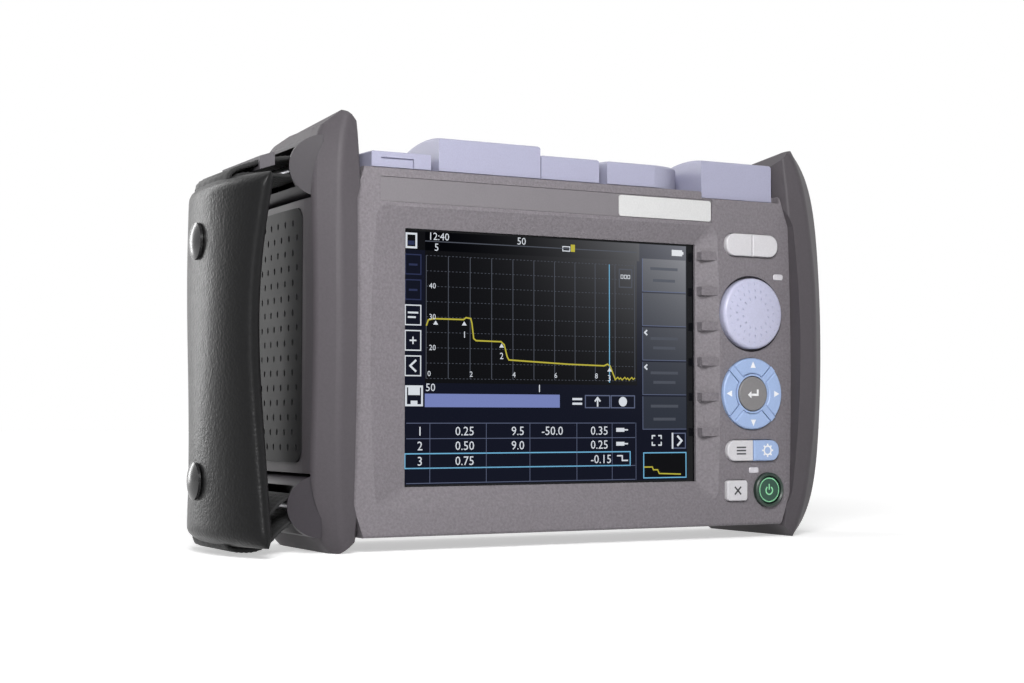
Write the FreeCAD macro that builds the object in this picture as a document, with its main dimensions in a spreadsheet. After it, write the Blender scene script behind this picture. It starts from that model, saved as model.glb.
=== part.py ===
import FreeCAD, Part
import math
import os
import re
import Sketcher

os.makedirs("parts", exist_ok=True)
doc = FreeCAD.newDocument("reflectometer")
Vector = FreeCAD.Vector

# ---------------------------------------------------------------------------
# Driving sizes, in millimetres. X runs to the right of the screen, Y from the
# front to the back, Z up from the table. Y and Z places are measured from the
# middle of the case and from the table.
# ---------------------------------------------------------------------------
SIZES = [
    # case
    ("case_low", 5.0, "underside of the case"),
    ("case_top", 129.0, "top of the case"),
    ("case_half", 90.5, "half width of the case at mid height"),
    ("case_shoulder", 89.5, "half width where the corners begin"),
    ("case_corner", 85.5, "half width at the top and bottom edges"),
    ("corner_rise", 11.5, "height of the leaning corner stretch"),
    ("panel_front", -31.0, "front face of the control panel"),
    ("case_split", -17.0, "joint plane of the two case halves"),
    ("case_back", 25.0, "back face of the case"),
    ("case_wall", 2.5, "outer wall of the case halves"),
    ("panel_wall", 4.6, "front wall around the screen"),
    ("seat_gap", 0.1, "gap between fixed pieces that sit in each other"),
    # screen
    ("screen_x", -9.9, "middle of the window"),
    ("screen_z", 65.4, "middle of the window"),
    ("window_wide", 118.4, "window opening"),
    ("window_tall", 87.8, "window opening"),
    ("window_lip", 1.0, "lip in front of the glass"),
    ("dish_left", 11.8, "width of the sloping frame left of the window"),
    ("dish_bow", 2.4, "outward bow of the frame's left and right edges"),
    ("dish_right", 7.4, "width of the sloping frame right of the window"),
    ("dish_round", 4.0, "corner rounding of the frame's outer edge"),
    ("dish_edge", 6.9, "height of the sloping frame above and below"),
    ("glass_lap", 1.4, "lap of the glass behind the lip"),
    ("glass_thick", 1.6, "touch glass"),
    ("lcd_thick", 6.0, "display module"),
    ("rib_pitch", 13.05, "pitch of the guide ribs beside the screen"),
    ("rib_high", 3.0, "height of a guide rib"),
    ("rib_first", 39.7, "lowest guide rib"),
    # name strip
    ("strip_left", -79.8, "left end of the name strip"),
    ("strip_right", 54.6, "right end of the label recess"),
    ("strip_low", 117.5, "lower edge of the name strip"),
    ("strip_high", 125.9, "upper edge of the name strip"),
    ("strip_deep", 0.8, "depth of the name strip recess"),
    ("plate_thick", 0.5, "name plate"),
    ("label_left", 14.0, "left end of the blank label"),
    ("label_thick", 0.25, "blank label"),
    # keys
    ("keys_x", 71.9, "middle of the key column"),
    ("key_gap", 0.25, "clearance between a key and its hole"),
    ("key_split", 0.3, "gap between the two keys of a pair"),
    ("key_proud", 1.6, "how far a key stands out of the panel"),
    ("key_travel", 0.8, "travel of a key"),
    ("key_flange", 1.0, "thickness of the flange that keeps a key in"),
    ("flange_lap", 0.7, "lap of that flange behind the panel"),
    ("key_skin", 2.6, "panel thickness around the keys"),
    ("pair_wide", 23.6, "width of a key pair"),
    ("upper_pair_z", 109.7, "real time and average keys"),
    ("upper_pair_high", 8.3, "height of the upper key pair"),
    ("lower_pair_z", 32.8, "menu and setup keys"),
    ("lower_pair_high", 7.7, "height of the lower key pair"),
    ("ring_z", 54.0, "middle of the arrow ring"),
    ("ring_outer", 13.3, "outer radius of the arrow keys"),
    ("ring_inner", 7.6, "inner radius of the arrow keys"),
    ("enter_radius", 6.4, "enter key"),
    ("web_half", 1.2, "half width of a web between two arrow keys"),
    ("esc_x", 64.5, "escape key"),
    ("esc_z", 18.0, "escape and power keys"),
    ("esc_wide", 9.2, "escape key"),
    ("esc_high", 7.6, "escape key"),
    ("power_x", 79.2, "power key"),
    ("power_radius", 5.0, "power key"),
    ("collar_radius", 6.4, "outer radius of the power key's collar"),
    ("led_x", 84.8, "laser lamp"),
    ("led_z", 98.2, "laser lamp"),
    ("charge_z", 25.4, "charge lamp"),
    ("led_wide", 4.4, "lamp lens"),
    ("led_high", 2.3, "lamp lens"),
    # rotary knob
    ("knob_z", 84.0, "middle of the knob"),
    ("knob_radius", 13.3, "knob"),
    ("knob_crown", -34.4, "front of the knob's dome"),
    ("knob_skirt", -29.0, "back of the knob's skirt"),
    ("well_floor", -28.2, "floor of the knob's well"),
    ("well_gap", 1.0, "gap around the knob"),
    ("push_travel", 0.6, "push travel of the knob"),
    ("shaft_radius", 2.5, "encoder shaft"),
    ("shaft_play", 0.05, "running clearance of the shaft"),
    ("bush_radius", 4.4, "encoder bush"),
    ("encoder_side", 12.4, "encoder housing"),
    ("encoder_deep", 7.6, "encoder housing"),
    ("mat_thick", 1.4, "key mat"),
    ("board_thick", 1.6, "circuit boards"),
    # bumpers
    ("bumper_top", 148.0, "height of the bumpers"),
    ("bumper_half", 104.4, "half width over the bumpers"),
    ("ridge_half", 98.0, "half width over the bumpers' ridges"),
    ("ridge_front", -38.0, "front of the ridges"),
    ("ridge_back", 31.0, "back of the ridges"),
    ("front_bow", 7.5, "how far the ridges fall back at their ends"),
    ("back_bow", 4.5, "how far the back ridges draw in at their ends"),
    ("ridge_tuck", 5.5, "how far the ridges lean in at their ends"),
    ("outer_tuck", 9.0, "how far the sides draw in at their ends"),
    ("ridge_depth", 7.0, "how far the ridges stand in front of the panel"),
    ("ridge_lean", 2.6, "how far the inner face of a ridge leans out"),
    ("ridge_slope", 1.4, "fall of a ridge's front face towards the screen"),
    ("ridge_round", 1.2, "rounding of a ridge's inner edge"),
    ("side_round", 3.4, "rounding of a ridge's outer edge"),
    ("tip_blunt", 4.5, "size of the blunted tips"),
    ("bumper_inner", 85.6, "inner edge of the bumpers above the case"),
    # side grip
    ("grip_front", -23.0, "front edge of the side grip"),
    ("grip_back", 18.0, "back edge of the side grip"),
    ("grip_low", 30.0, "lower end of the side grip"),
    ("grip_high", 115.0, "upper end of the side grip"),
    ("grip_seat", 101.5, "plane the grip sits on, from the middle"),
    ("grip_crown", 105.4, "outermost line of the grip, from the middle"),
    ("grip_edge", 104.6, "the grip's edges, from the middle"),
    ("dimple_pitch", 5.0, "pitch of the dimple rows"),
    ("dimple_step", 6.6, "pitch of the dimples along a row"),
    ("dimple_radius", 1.0, "a dimple"),
    ("dimple_deep", 1.1, "a dimple"),
    # strap lugs
    ("lug_seat", 99.4, "plane the lugs sit on, from the middle"),
    ("lug_out", 109.6, "outermost point of the lugs, from the middle"),
    ("lug_high", 21.0, "height of a lug"),
    ("upper_lug_z", 128.0, "middle of the upper lug"),
    ("lower_lug_z", 16.0, "middle of the lower lug"),
    ("cheek", 4.2, "cheek of a lug"),
    ("bar_out", 104.6, "strap bar, from the middle"),
    ("bar_radius", 2.0, "strap bar"),
    ("bar_seat", 1.2, "depth of a strap bar's seat in a cheek"),
    # strap
    ("strap_y", -6.0, "middle of the webbing"),
    ("strap_wide", 34.0, "width of the webbing"),
    ("strap_thick", 1.6, "thickness of the webbing"),
    ("pad_y", -8.0, "middle of the pad"),
    ("pad_out", 135.0, "outermost line of the pad, from the middle"),
    ("pad_thick", 9.5, "thickness of the pad"),
    ("pad_bend", 83.0, "outer radius of the pad around the hand"),
    ("pad_low", 3.4, "lower end of the pad"),
    ("pad_high", 123.4, "upper end of the pad"),
    ("pad_layer", 129.5, "middle of the webbing in the pad, from the middle"),
    ("rivet_radius", 6.2, "rivet head"),
    ("rivet_shank", 2.1, "rivet shank"),
    ("rivet_rise", 2.2, "height of a rivet head"),
    ("upper_rivet_z", 103.4, "upper rivet"),
    ("lower_rivet_z", 24.0, "lower rivet"),
    # ports and covers
    ("ports_front", -14.0, "front edge of the port panel"),
    ("ports_back", 5.0, "back edge of the port panel"),
    ("ports_half", 82.5, "half width of the port panel"),
    ("port_y", -4.5, "line of the ports"),
    ("cover_front", -29.4, "front face of the port covers"),
    ("cover_wall", 1.5, "wall of a port cover"),
    ("cover_gap", 0.3, "gap under a port cover"),
    ("hinge_y", 9.5, "hinge line of the port covers"),
    ("hinge_rise", 2.6, "height of the hinge line above the case"),
    ("pin_radius", 1.0, "hinge pin"),
    ("pin_play", 0.06, "running clearance on a hinge pin"),
    ("knuckle", 2.1, "radius of a hinge knuckle"),
    ("adapter_top", 134.2, "mouth of the optical adapters"),
    ("adapter_radius", 4.6, "barrel of an optical adapter"),
    ("adapter_flange", 13.0, "square flange of an optical adapter"),
    ("ferrule_bore", 1.26, "sleeve bore of an optical adapter"),
    ("ferrule_depth", 7.0, "depth of that bore down to the ferrule"),
    ("flange_thick", 1.6, "flange of an optical adapter"),
    ("shank_radius", 5.1, "part of an adapter below the port panel"),
    ("socket_low", 115.0, "lower end of the sockets"),
    ("socket_wall", 0.45, "wall of a metal socket"),
    ("usb_half", 7.0, "half width of the large socket"),
    ("usb_deep", 3.4, "half depth of the large socket"),
    ("data_half", 4.6, "half width of the small socket"),
    ("data_deep", 2.3, "half depth of the small socket"),
    ("jack_radius", 4.9, "outer radius of the power inlet"),
    ("jack_bore", 2.85, "bore of the power inlet"),
    # back
    ("bay_left", -59.0, "battery bay"),
    ("bay_right", 59.0, "battery bay"),
    ("bay_low", 27.0, "battery bay"),
    ("bay_high", 79.0, "battery bay"),
    ("bay_floor", 4.0, "floor of the battery bay"),
    ("door_lap", 3.0, "ledge under the battery door"),
    ("door_thick", 2.2, "battery door"),
    ("door_ear", 5.0, "screw ear of the battery door"),
    ("door_gap", 0.3, "gap around the battery door"),
    ("cell_gap", 0.6, "gap around the battery pack"),
    ("stand_outer", 76.0, "half width of the tilt stand"),
    ("stand_leg", 8.0, "width of the stand's legs"),
    ("stand_low", 14.5, "lower edge of the folded stand"),
    ("stand_thick", 3.6, "thickness of the stand"),
    ("stand_gap", 0.4, "gap around the folded stand"),
    ("stand_round", 2.5, "rounding of the stand's lower corners"),
    ("stand_pin_z", 99.5, "hinge line of the stand"),
    ("screw_head", 2.7, "case screw head"),
    ("screw_shank", 1.4, "case screw shank"),
    ("screw_sink", 2.0, "depth of a case screw head"),
    ("low_screw_x", 70.0, "lower case screws"),
    ("low_screw_z", 9.4, "lower case screws"),
    ("high_screw_x", 81.5, "upper case screws"),
    ("high_screw_z", 119.5, "upper case screws"),
]

sheet = doc.addObject("Spreadsheet::Sheet", "Sizes")
for row, (alias, number, meaning) in enumerate(SIZES, start=1):
    sheet.set(f"A{row}", alias)
    sheet.set(f"B{row}", str(number))
    sheet.set(f"C{row}", meaning)
    sheet.setAlias(f"B{row}", alias)
doc.recompute()

ALIASES = {alias for alias, number, meaning in SIZES}
bodies = []


# ---------------------------------------------------------------------------
# Small helpers: every length is an expression over the sheet's aliases.
# ---------------------------------------------------------------------------
def bound(text):
    """An expression with each alias pointed at its cell."""
    swap = lambda word: "Sizes." + word.group(0) if word.group(0) in ALIASES else word.group(0)
    return re.sub(r"[a-z_]+[a-z]", swap, str(text))


def value(text):
    """What an expression comes to now."""
    return float(sheet.evalExpression(bound(text)))


def new_body(label):
    """An empty body for one sub-part."""
    body = doc.addObject("PartDesign::Body", label)
    body.Label = label
    body.AllowCompound = True
    bodies.append(body)
    return body


def new_sketch(body, name, role, at, shift=("0", "0")):
    """A sketch on one of the body's own planes, moved along its normal to a place."""
    sketch = body.newObject("Sketcher::SketchObject", f"{body.Label}_{name}")
    plane = next(item for item in body.Origin.OriginFeatures if item.Role == role)
    sketch.AttachmentSupport = [(plane, "")]
    sketch.MapMode = "FlatFace"
    normal = f"-({at})" if role == "XZ_Plane" else f"{at}"
    for axis, text in zip("xyz", (shift[0], shift[1], normal)):
        sketch.setExpression(f"AttachmentOffset.Base.{axis}", bound(text))
    return sketch


def pin_point(sketch, item, end, across, up):
    """Hold one point of a sketch at two expressions."""
    for kind, text in (("DistanceX", across), ("DistanceY", up)):
        index = sketch.addConstraint(Sketcher.Constraint(kind, -1, 1, item, end, value(text)))
        sketch.setExpression(f"Constraints[{index}]", bound(text))


def add_arc(sketch, start, via, end):
    """An arc through three points; returns its index and the ends that match."""
    points = [Vector(value(a), value(b), 0) for a, b in (start, via, end)]
    arc = sketch.addGeometry(Part.Arc(*points))
    first = 1 if (sketch.getPoint(arc, 1) - points[0]).Length < 1e-6 else 2
    mark = sketch.addGeometry(Part.Point(points[1]), True)
    pin_point(sketch, mark, 1, *via)
    sketch.addConstraint(Sketcher.Constraint("PointOnObject", mark, 1, arc))
    return arc, first, 3 - first


def draw_outline(sketch, corners):
    """A closed outline. A corner is (across, up) or (across, up, radius); a tuple
    that starts with "via" bends the stretch between its neighbours into an arc."""
    stops = [corner for corner in corners if corner[0] != "via"]
    pieces = []
    for place, corner in enumerate(corners):
        if corner[0] == "via":
            continue
        following = corners[(place + 1) % len(corners)]
        if following[0] == "via":
            after = corners[(place + 2) % len(corners)]
            pieces.append(add_arc(sketch, corner[:2], following[1:], after[:2]))
        else:
            ends = [Vector(value(spot[0]), value(spot[1]), 0) for spot in (corner, following)]
            pieces.append((sketch.addGeometry(Part.LineSegment(*ends)), 1, 2))
    for place, (item, first, last) in enumerate(pieces):
        follower, start, end = pieces[(place + 1) % len(pieces)]
        sketch.addConstraint(Sketcher.Constraint("Coincident", item, last, follower, start))
        pin_point(sketch, item, first, *stops[place][:2])
    for place, corner in enumerate(stops):
        if len(corner) > 2:
            round_corner(sketch, pieces[place - 1][0], pieces[place][0], corner[2])


def round_corner(sketch, before, after, radius):
    """Round the corner between two lines of an outline."""
    count = sketch.GeometryCount
    aims = [(sketch.getPoint(item, 1) + sketch.getPoint(item, 2)) * 0.5 for item in (before, after)]
    sketch.fillet(before, after, aims[0], aims[1], value(radius), True, True)
    added = range(count, sketch.GeometryCount)
    arc = next(item for item in added if sketch.Geometry[item].TypeId == "Part::GeomArcOfCircle")
    index = sketch.addConstraint(Sketcher.Constraint("Radius", arc, value(radius)))
    sketch.setExpression(f"Constraints[{index}]", bound(radius))


def draw_circle(sketch, centre, radius):
    """A circle held at two expressions."""
    middle = Vector(value(centre[0]), value(centre[1]), 0)
    item = sketch.addGeometry(Part.Circle(middle, Vector(0, 0, 1), value(radius)))
    pin_point(sketch, item, 3, *centre)
    index = sketch.addConstraint(Sketcher.Constraint("Radius", item, value(radius)))
    sketch.setExpression(f"Constraints[{index}]", bound(radius))


def extrude(body, sketch, length, cut, backwards):
    """Pad or pocket a sketch by an expression."""
    kind = "PartDesign::Pocket" if cut else "PartDesign::Pad"
    feature = body.newObject(kind, sketch.Name + ("_cut" if cut else "_pad"))
    feature.Profile = sketch
    feature.setExpression("Length", bound(length))
    feature.Reversed = backwards
    sketch.Visibility = False
    return feature


# Planes and directions: "front" sketches lie in XZ and grow towards -Y, "top"
# sketches lie in XY and grow towards +Z, "side" sketches lie in YZ and grow
# towards +X. A cut runs the same way as a pad unless it says otherwise.
ROLES = {"front": "XZ_Plane", "top": "XY_Plane", "side": "YZ_Plane"}


def prism(body, name, view, start, end, corners, cut=False):
    """An outline extruded between two planes, added or cut."""
    sketch = new_sketch(body, name, ROLES[view], start)
    draw_outline(sketch, corners)
    return span(body, sketch, view, start, end, cut)


def rod(body, name, view, start, end, centre, radius, cut=False, hole=None):
    """A round bar or hole between two planes, with an inner circle for a tube."""
    sketch = new_sketch(body, name, ROLES[view], start)
    draw_circle(sketch, centre, radius)
    if hole:
        draw_circle(sketch, centre, hole)
    return span(body, sketch, view, start, end, cut)


def span(body, sketch, view, start, end, cut):
    """Extrude from start to end, whichever way that is."""
    outward = (value(end) > value(start)) != (view == "front")
    length = f"abs(({end}) - ({start}))"
    return extrude(body, sketch, length, cut, outward if cut else not outward)


def box(left, right, low, high, radius=None):
    """The four corners of a rectangle."""
    ends = [(left, low), (right, low), (right, high), (left, high)]
    return [end + (radius,) for end in ends] if radius else ends


def soften(body, radius, test, name="round", kind="Fillet"):
    """Fillet or chamfer those edges of the body so far that pass a test."""
    doc.recompute()
    tip = body.Tip
    names = [f"Edge{n}" for n, edge in enumerate(tip.Shape.Edges, start=1) if test(edge)]
    if not names:
        raise RuntimeError(f"{body.Label}: no edge to round for {name}")
    feature = body.newObject(f"PartDesign::{kind}", f"{body.Label}_{name}")
    feature.Base = (tip, names)
    feature.setExpression("Radius" if kind == "Fillet" else "Size", bound(radius))
    doc.recompute()
    return feature


def near(number, text):
    return abs(number - value(text)) < 0.02


def on_plane(edge, axis, text):
    """True when the whole edge lies in the plane axis = text."""
    limits = edge.BoundBox
    return near(getattr(limits, axis + "Min"), text) and near(getattr(limits, axis + "Max"), text)


def runs_along(edge, axis):
    """True for a straight edge parallel to an axis."""
    limits = edge.BoundBox
    others = [other for other in "XYZ" if other != axis]
    return all(getattr(limits, other + "Length") < 0.02 for other in others)


def mirror_x(corners):
    """The same outline on the other side of the middle, walked the same way round."""
    turned = []
    for corner in reversed(corners):
        if corner[0] == "via":
            turned.append(("via", f"-({corner[1]})") + tuple(corner[2:]))
        else:
            turned.append((f"-({corner[0]})",) + tuple(corner[1:]))
    return turned


# ---------------------------------------------------------------------------
# Case halves
# ---------------------------------------------------------------------------
STAND_TOP = "(stand_pin_z + stand_thick / 2)"
DOOR_SCREW = ("0", "bay_high + door_lap + 0.5")


def stand_outline(grow, top):
    """The folded stand: two legs and a foot bar, open at the top."""
    outer, inner = f"(stand_outer + {grow})", f"(stand_outer - stand_leg - {grow})"
    low, cross = f"stand_low - {grow}", f"stand_low + stand_leg + {grow}"
    high = f"{top} + {grow}"
    bend, crook = f"stand_round + {grow}", f"stand_round - {grow}"
    return [(f"-{outer}", low, bend), (outer, low, bend), (outer, high), (inner, high),
            (inner, cross, crook), (f"-{inner}", cross, crook), (f"-{inner}", high), (f"-{outer}", high)]


def case_outline(inset):
    """The case seen from the front, drawn in by an inset on all sides."""
    low = f"case_low + ({inset})"
    high = f"case_top - ({inset})"
    edge = f"case_corner - ({inset})"
    shoulder = f"case_shoulder - ({inset})"
    middle = "(case_low + case_top) / 2"
    return [
        (f"-({edge})", low), (edge, low), (shoulder, f"{low} + corner_rise"),
        ("via", f"case_half - ({inset})", middle),
        (shoulder, f"{high} - corner_rise"), (edge, high), (f"-({edge})", high),
        (f"-({shoulder})", f"{high} - corner_rise"),
        ("via", f"-(case_half - ({inset}))", middle),
        (f"-({shoulder})", f"{low} + corner_rise"),
    ]


WINDOW_LEFT = "screen_x - window_wide / 2"
WINDOW_RIGHT = "screen_x + window_wide / 2"
WINDOW_LOW = "screen_z - window_tall / 2"
WINDOW_HIGH = "screen_z + window_tall / 2"
GLASS_FRONT = "panel_front + panel_wall"
SCREWS = [
    ("-low_screw_x", "low_screw_z"), ("low_screw_x", "low_screw_z"),
    ("-high_screw_x", "high_screw_z"), ("high_screw_x", "high_screw_z"),
]
GUIDE_RIBS = 6
# label, left end, right end and height of the front of each port cover
COVERS = [
    ("usb_cover", -82.4, -60.4, 134.6),
    ("otdr_cover", -57.4, -17.6, 140.6),
    ("source_cover", -17.2, 6.6, 137.6),
    ("meter_cover", 10.0, 50.2, 137.5),
    ("power_cover", 51.0, 83.0, 140.7),
]
POWER_COVER_LEFT = COVERS[4][1]
HINGE_Z = "(case_top + hinge_rise)"


def hinge_lugs():
    """Ends of the lugs that carry the hinge pin: one in each gap between covers and one at each end."""
    gap = 0.3
    lugs = [("-(bumper_inner - 0.2)", f"{COVERS[0][1] - gap}")]
    for left, right in ((COVERS[0], COVERS[1]), (COVERS[2], COVERS[3])):
        lugs.append((f"{left[2] + gap}", f"{right[1] - gap}"))
    lugs.append((f"{COVERS[4][2] + gap}", "bumper_inner - 0.2"))
    return lugs


def pair_hole(z, high, grow):
    """The rounded hole or flange outline of a pair of keys."""
    half = f"(pair_wide / 2 + {grow})"
    tall = f"({high} / 2 + {grow})"
    left, right = f"keys_x - {half}", f"keys_x + {half}"
    return box(left, right, f"{z} - {tall}", f"{z} + {tall}", f"{tall} * 0.94")


def led_spots():
    return [("laser", "led_x", "led_z"), ("charge", "keys_x + 1.1", "charge_z")]


def led_box(x, z, grow):
    half, tall = f"(led_wide / 2 + {grow})", f"(led_high / 2 + {grow})"
    return box(f"{x} - {half}", f"{x} + {half}", f"{z} - {tall}", f"{z} + {tall}", f"{tall} * 0.7")


def make_front_case():
    """Front half: panel wall with the screen dish, guide ribs, key holes and knob well."""
    body = new_body("front_case")
    prism(body, "shell", "front", "case_split", "panel_front", case_outline("0"))
    level = lambda edge: on_plane(edge, "Y", "panel_front") and edge.BoundBox.XLength > 100
    soften(body, "1.2", level)
    prism(body, "hollow", "front", "case_split", GLASS_FRONT, case_outline("case_wall"), cut=True)
    # the sloping dish around the window, its left and right edges bowed outwards
    rim = new_sketch(body, "dish_rim", "XZ_Plane", "panel_front")
    left, right = f"{WINDOW_LEFT} - dish_left", f"{WINDOW_RIGHT} + dish_right"
    low, high = f"{WINDOW_LOW} - dish_edge", f"{WINDOW_HIGH} + dish_edge"
    draw_outline(rim, [
        (left, low, "dish_round"), (right, low, "dish_round"), ("via", f"{right} + dish_bow / 2", "screen_z"),
        (right, high, "dish_round"), (left, high, "dish_round"), ("via", f"{left} - dish_bow", "screen_z"),
    ])
    foot = new_sketch(body, "dish_foot", "XZ_Plane", f"{GLASS_FRONT} - window_lip")
    draw_outline(foot, [
        (WINDOW_LEFT, WINDOW_LOW, "1"), (WINDOW_RIGHT, WINDOW_LOW, "1"),
        ("via", f"{WINDOW_RIGHT} + 0.05", "screen_z"), (WINDOW_RIGHT, WINDOW_HIGH, "1"),
        (WINDOW_LEFT, WINDOW_HIGH, "1"), ("via", f"{WINDOW_LEFT} - 0.05", "screen_z"),
    ])
    dish = body.newObject("PartDesign::SubtractiveLoft", "front_case_dish")
    dish.Profile = rim
    dish.Sections = [foot]
    dish.Ruled = True
    prism(body, "window", "front", GLASS_FRONT, f"{GLASS_FRONT} - window_lip - 0.5",
          box(WINDOW_LEFT, WINDOW_RIGHT, WINDOW_LOW, WINDOW_HIGH), cut=True)
    for place in range(GUIDE_RIBS):
        middle = f"rib_first + rib_pitch * {place}"
        prism(body, f"rib_{place + 1}", "front", GLASS_FRONT, "panel_front + 0.15",
              box(f"{WINDOW_RIGHT} + 0.6", f"{right} + 1.2",
                  f"{middle} - rib_high / 2", f"{middle} + rib_high / 2"))
    prism(body, "strip", "front", "panel_front", "panel_front + strip_deep",
          box("strip_left", "strip_right", "strip_low", "strip_high"), cut=True)
    # holes for the keys, each with a thinner wall behind it for the flange
    skin = "panel_front + key_skin"
    for name, z, high in (("upper", "upper_pair_z", "upper_pair_high"),
                          ("lower", "lower_pair_z", "lower_pair_high")):
        prism(body, f"{name}_pair", "front", skin, "panel_front", pair_hole(z, high, "key_gap"), cut=True)
        prism(body, f"{name}_room", "front", GLASS_FRONT, skin,
              pair_hole(z, high, "flange_lap + key_gap * 2"), cut=True)
    rod(body, "ring_hole", "front", skin, "panel_front", ("keys_x", "ring_z"), "ring_outer + key_gap", cut=True)
    rod(body, "ring_room", "front", GLASS_FRONT, skin, ("keys_x", "ring_z"),
        "ring_outer + flange_lap + key_gap * 2", cut=True)
    for name, start, end, grow in (("hole", skin, "panel_front", "key_gap"),
                                   ("room", GLASS_FRONT, skin, "(flange_lap + key_gap * 2)")):
        prism(body, f"esc_{name}", "front", start, end, esc_box(grow), cut=True)
    rod(body, "power_hole", "front", GLASS_FRONT, "panel_front", ("power_x", "esc_z"),
        "collar_radius + seat_gap", cut=True)
    rod(body, "knob_well", "front", "panel_front", "well_floor", ("keys_x", "knob_z"),
        "knob_radius + well_gap", cut=True)
    rod(body, "bush_hole", "front", GLASS_FRONT, "well_floor", ("keys_x", "knob_z"),
        "bush_radius + 0.3", cut=True)
    for name, x, z in led_spots():
        prism(body, f"{name}_hole", "front", GLASS_FRONT, "panel_front", led_box(x, z, "seat_gap"), cut=True)
    # the power cover hangs lower than the rest, so the top edge is cut down for it
    prism(body, "cover_notch", "front", "cover_front + cover_wall + 0.5", "panel_front - 1",
          box(f"{POWER_COVER_LEFT} - 1", "case_corner - 0.2", "case_top - 2.6", "case_top + 1"), cut=True)
    for place, (x, z) in enumerate(SCREWS):
        rod(body, f"post_{place + 1}", "front", "case_split", GLASS_FRONT, (x, z), "screw_shank + 1.8")
        rod(body, f"pilot_{place + 1}", "front", "case_split", "case_split - 7", (x, z),
            "screw_shank + 0.02", cut=True)


def make_rear_case():
    """Rear half: hollow shell with the battery bay, stand channel, port opening and lugs."""
    body = new_body("rear_case")
    prism(body, "shell", "front", "case_back", "case_split", case_outline("0"))
    soften(body, "2", lambda edge: on_plane(edge, "Y", "case_back") and edge.BoundBox.XLength > 100)
    prism(body, "hollow", "front", "case_split", "case_back - case_wall",
          case_outline("case_wall"), cut=True)
    inner = "case_back - case_wall"
    prism(body, "bay_wall", "front", inner, "bay_floor - case_wall",
          box("bay_left - case_wall", "bay_right + case_wall", "bay_low - case_wall", "bay_high + case_wall"))
    deep = "case_back - stand_thick - stand_gap"
    for side, name in ((-1, "left"), (1, "right")):
        edges = sorted([f"{side} * (stand_outer + 2.4)", f"{side} * (stand_outer - stand_leg - 2.4)"],
                       key=value)
        prism(body, f"{name}_channel", "front", inner, f"{deep} - 2",
              box(edges[0], edges[1], "case_low + 1", f"{STAND_TOP} + 2.4"))
    prism(body, "foot_channel", "front", inner, f"{deep} - 2",
          box("-stand_outer", "stand_outer", "case_low + 1", "stand_low + stand_leg + 2.4"))
    prism(body, "bay", "front", "case_back", "bay_floor",
          box("bay_left", "bay_right", "bay_low", "bay_high"), cut=True)
    prism(body, "door_seat", "front", "case_back", "case_back - door_thick",
          box("bay_left - door_lap", "bay_right + door_lap", "bay_low - door_lap", "bay_high + door_lap"),
          cut=True)
    rod(body, "door_post", "front", "case_back - door_thick", "bay_floor + 6", DOOR_SCREW, "door_lap + 0.4")
    rod(body, "door_ear_seat", "front", "case_back", "case_back - door_thick", DOOR_SCREW,
        "door_ear + door_gap", cut=True)
    rod(body, "door_pilot", "front", "case_back", "bay_floor + 8", DOOR_SCREW, "screw_shank + 0.02", cut=True)
    prism(body, "stand_seat", "front", "case_back", deep, stand_outline("stand_gap", STAND_TOP), cut=True)
    prism(body, "finger_notch", "front", "case_back", f"{deep} + 0.6",
          box("-9", "9", "case_low + 3.6", "stand_low"), cut=True)
    for side, name in ((-1, "left"), (1, "right")):
        rod(body, f"{name}_pin_hole", "side", f"{side} * (stand_outer - stand_leg / 2)",
            f"{side} * (stand_outer + 2)", ("case_back - stand_thick / 2", "stand_pin_z"), "pin_radius", cut=True)
    prism(body, "port_opening", "top", "case_top - case_wall - 0.5", "case_top + 0.5",
          box("-ports_half", "ports_half", "ports_front", "ports_back"), cut=True)
    for place, (left, right) in enumerate(hinge_lugs()):
        name = f"hinge_lug_{place + 1}"
        top = "case_top + hinge_rise + pin_radius + 1.1"
        prism(body, name, "side", left, right,
              box("hinge_y - 2.1", "hinge_y + 2.1", "case_top - 0.5", top))
    rod(body, "hinge_bore", "side", "-(bumper_inner + 3)", "bumper_inner + 3",
        ("hinge_y", "case_top + hinge_rise"), "pin_radius", cut=True)
    for place, (x, z) in enumerate(SCREWS):
        rod(body, f"post_{place + 1}", "front", "case_back - case_wall", "case_split", (x, z),
            "screw_shank + 2.2")
        rod(body, f"sink_{place + 1}", "front", "case_back", "case_back - screw_sink - 1", (x, z),
            "screw_head + 0.3", cut=True)
        rod(body, f"way_{place + 1}", "front", "case_back", "case_split", (x, z),
            "screw_shank + 0.25", cut=True)
    for place in range(6):
        left = f"high_screw_x - 36 + {3.2 * place}"
        prism(body, f"sound_slot_{place + 1}", "front", "case_back", "case_back - case_wall",
              box(left, f"{left} + 1.4", "case_top - 17", "case_top - 9"), cut=True)


# ---------------------------------------------------------------------------
# Bumpers, side grip and strap lugs
# ---------------------------------------------------------------------------
BUMPER_STATIONS = [-1.0, -0.92, -0.75, -0.4, 0.0, 0.4, 0.75, 0.92, 1.0]


def bumper_section(side, station):
    """One level of a bumper: steep inner face, broad ridge, round shoulder and outer side, front and back."""
    ridge = f"(ridge_half - ridge_tuck * {station ** 4:.5f})"
    outer = f"(bumper_half - outer_tuck * {station ** 8:.5f})"
    front = f"(ridge_front + front_bow * {station ** 2:.5f})"
    back = f"(ridge_back - back_bow * {station ** 2:.5f})"
    corners = [
        ("bumper_inner", f"{front} + ridge_depth"),
        ("bumper_inner + ridge_lean", f"{front} + ridge_slope", "ridge_round"),
        (f"{ridge} - 1", front, "side_round"),
        (f"{outer} - 0.5", f"{front} + side_round * 1.6", "side_round"),
        (outer, f"{front} + 12"),
        (outer, f"{back} - 10"),
        (f"{outer} - 0.7", f"{back} - side_round * 1.2", "side_round * 0.7"),
        (ridge, back, "ridge_round"),
        ("bumper_inner", f"{back} - ridge_depth + 1"),
    ]
    return corners if side > 0 else mirror_x(corners)


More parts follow.
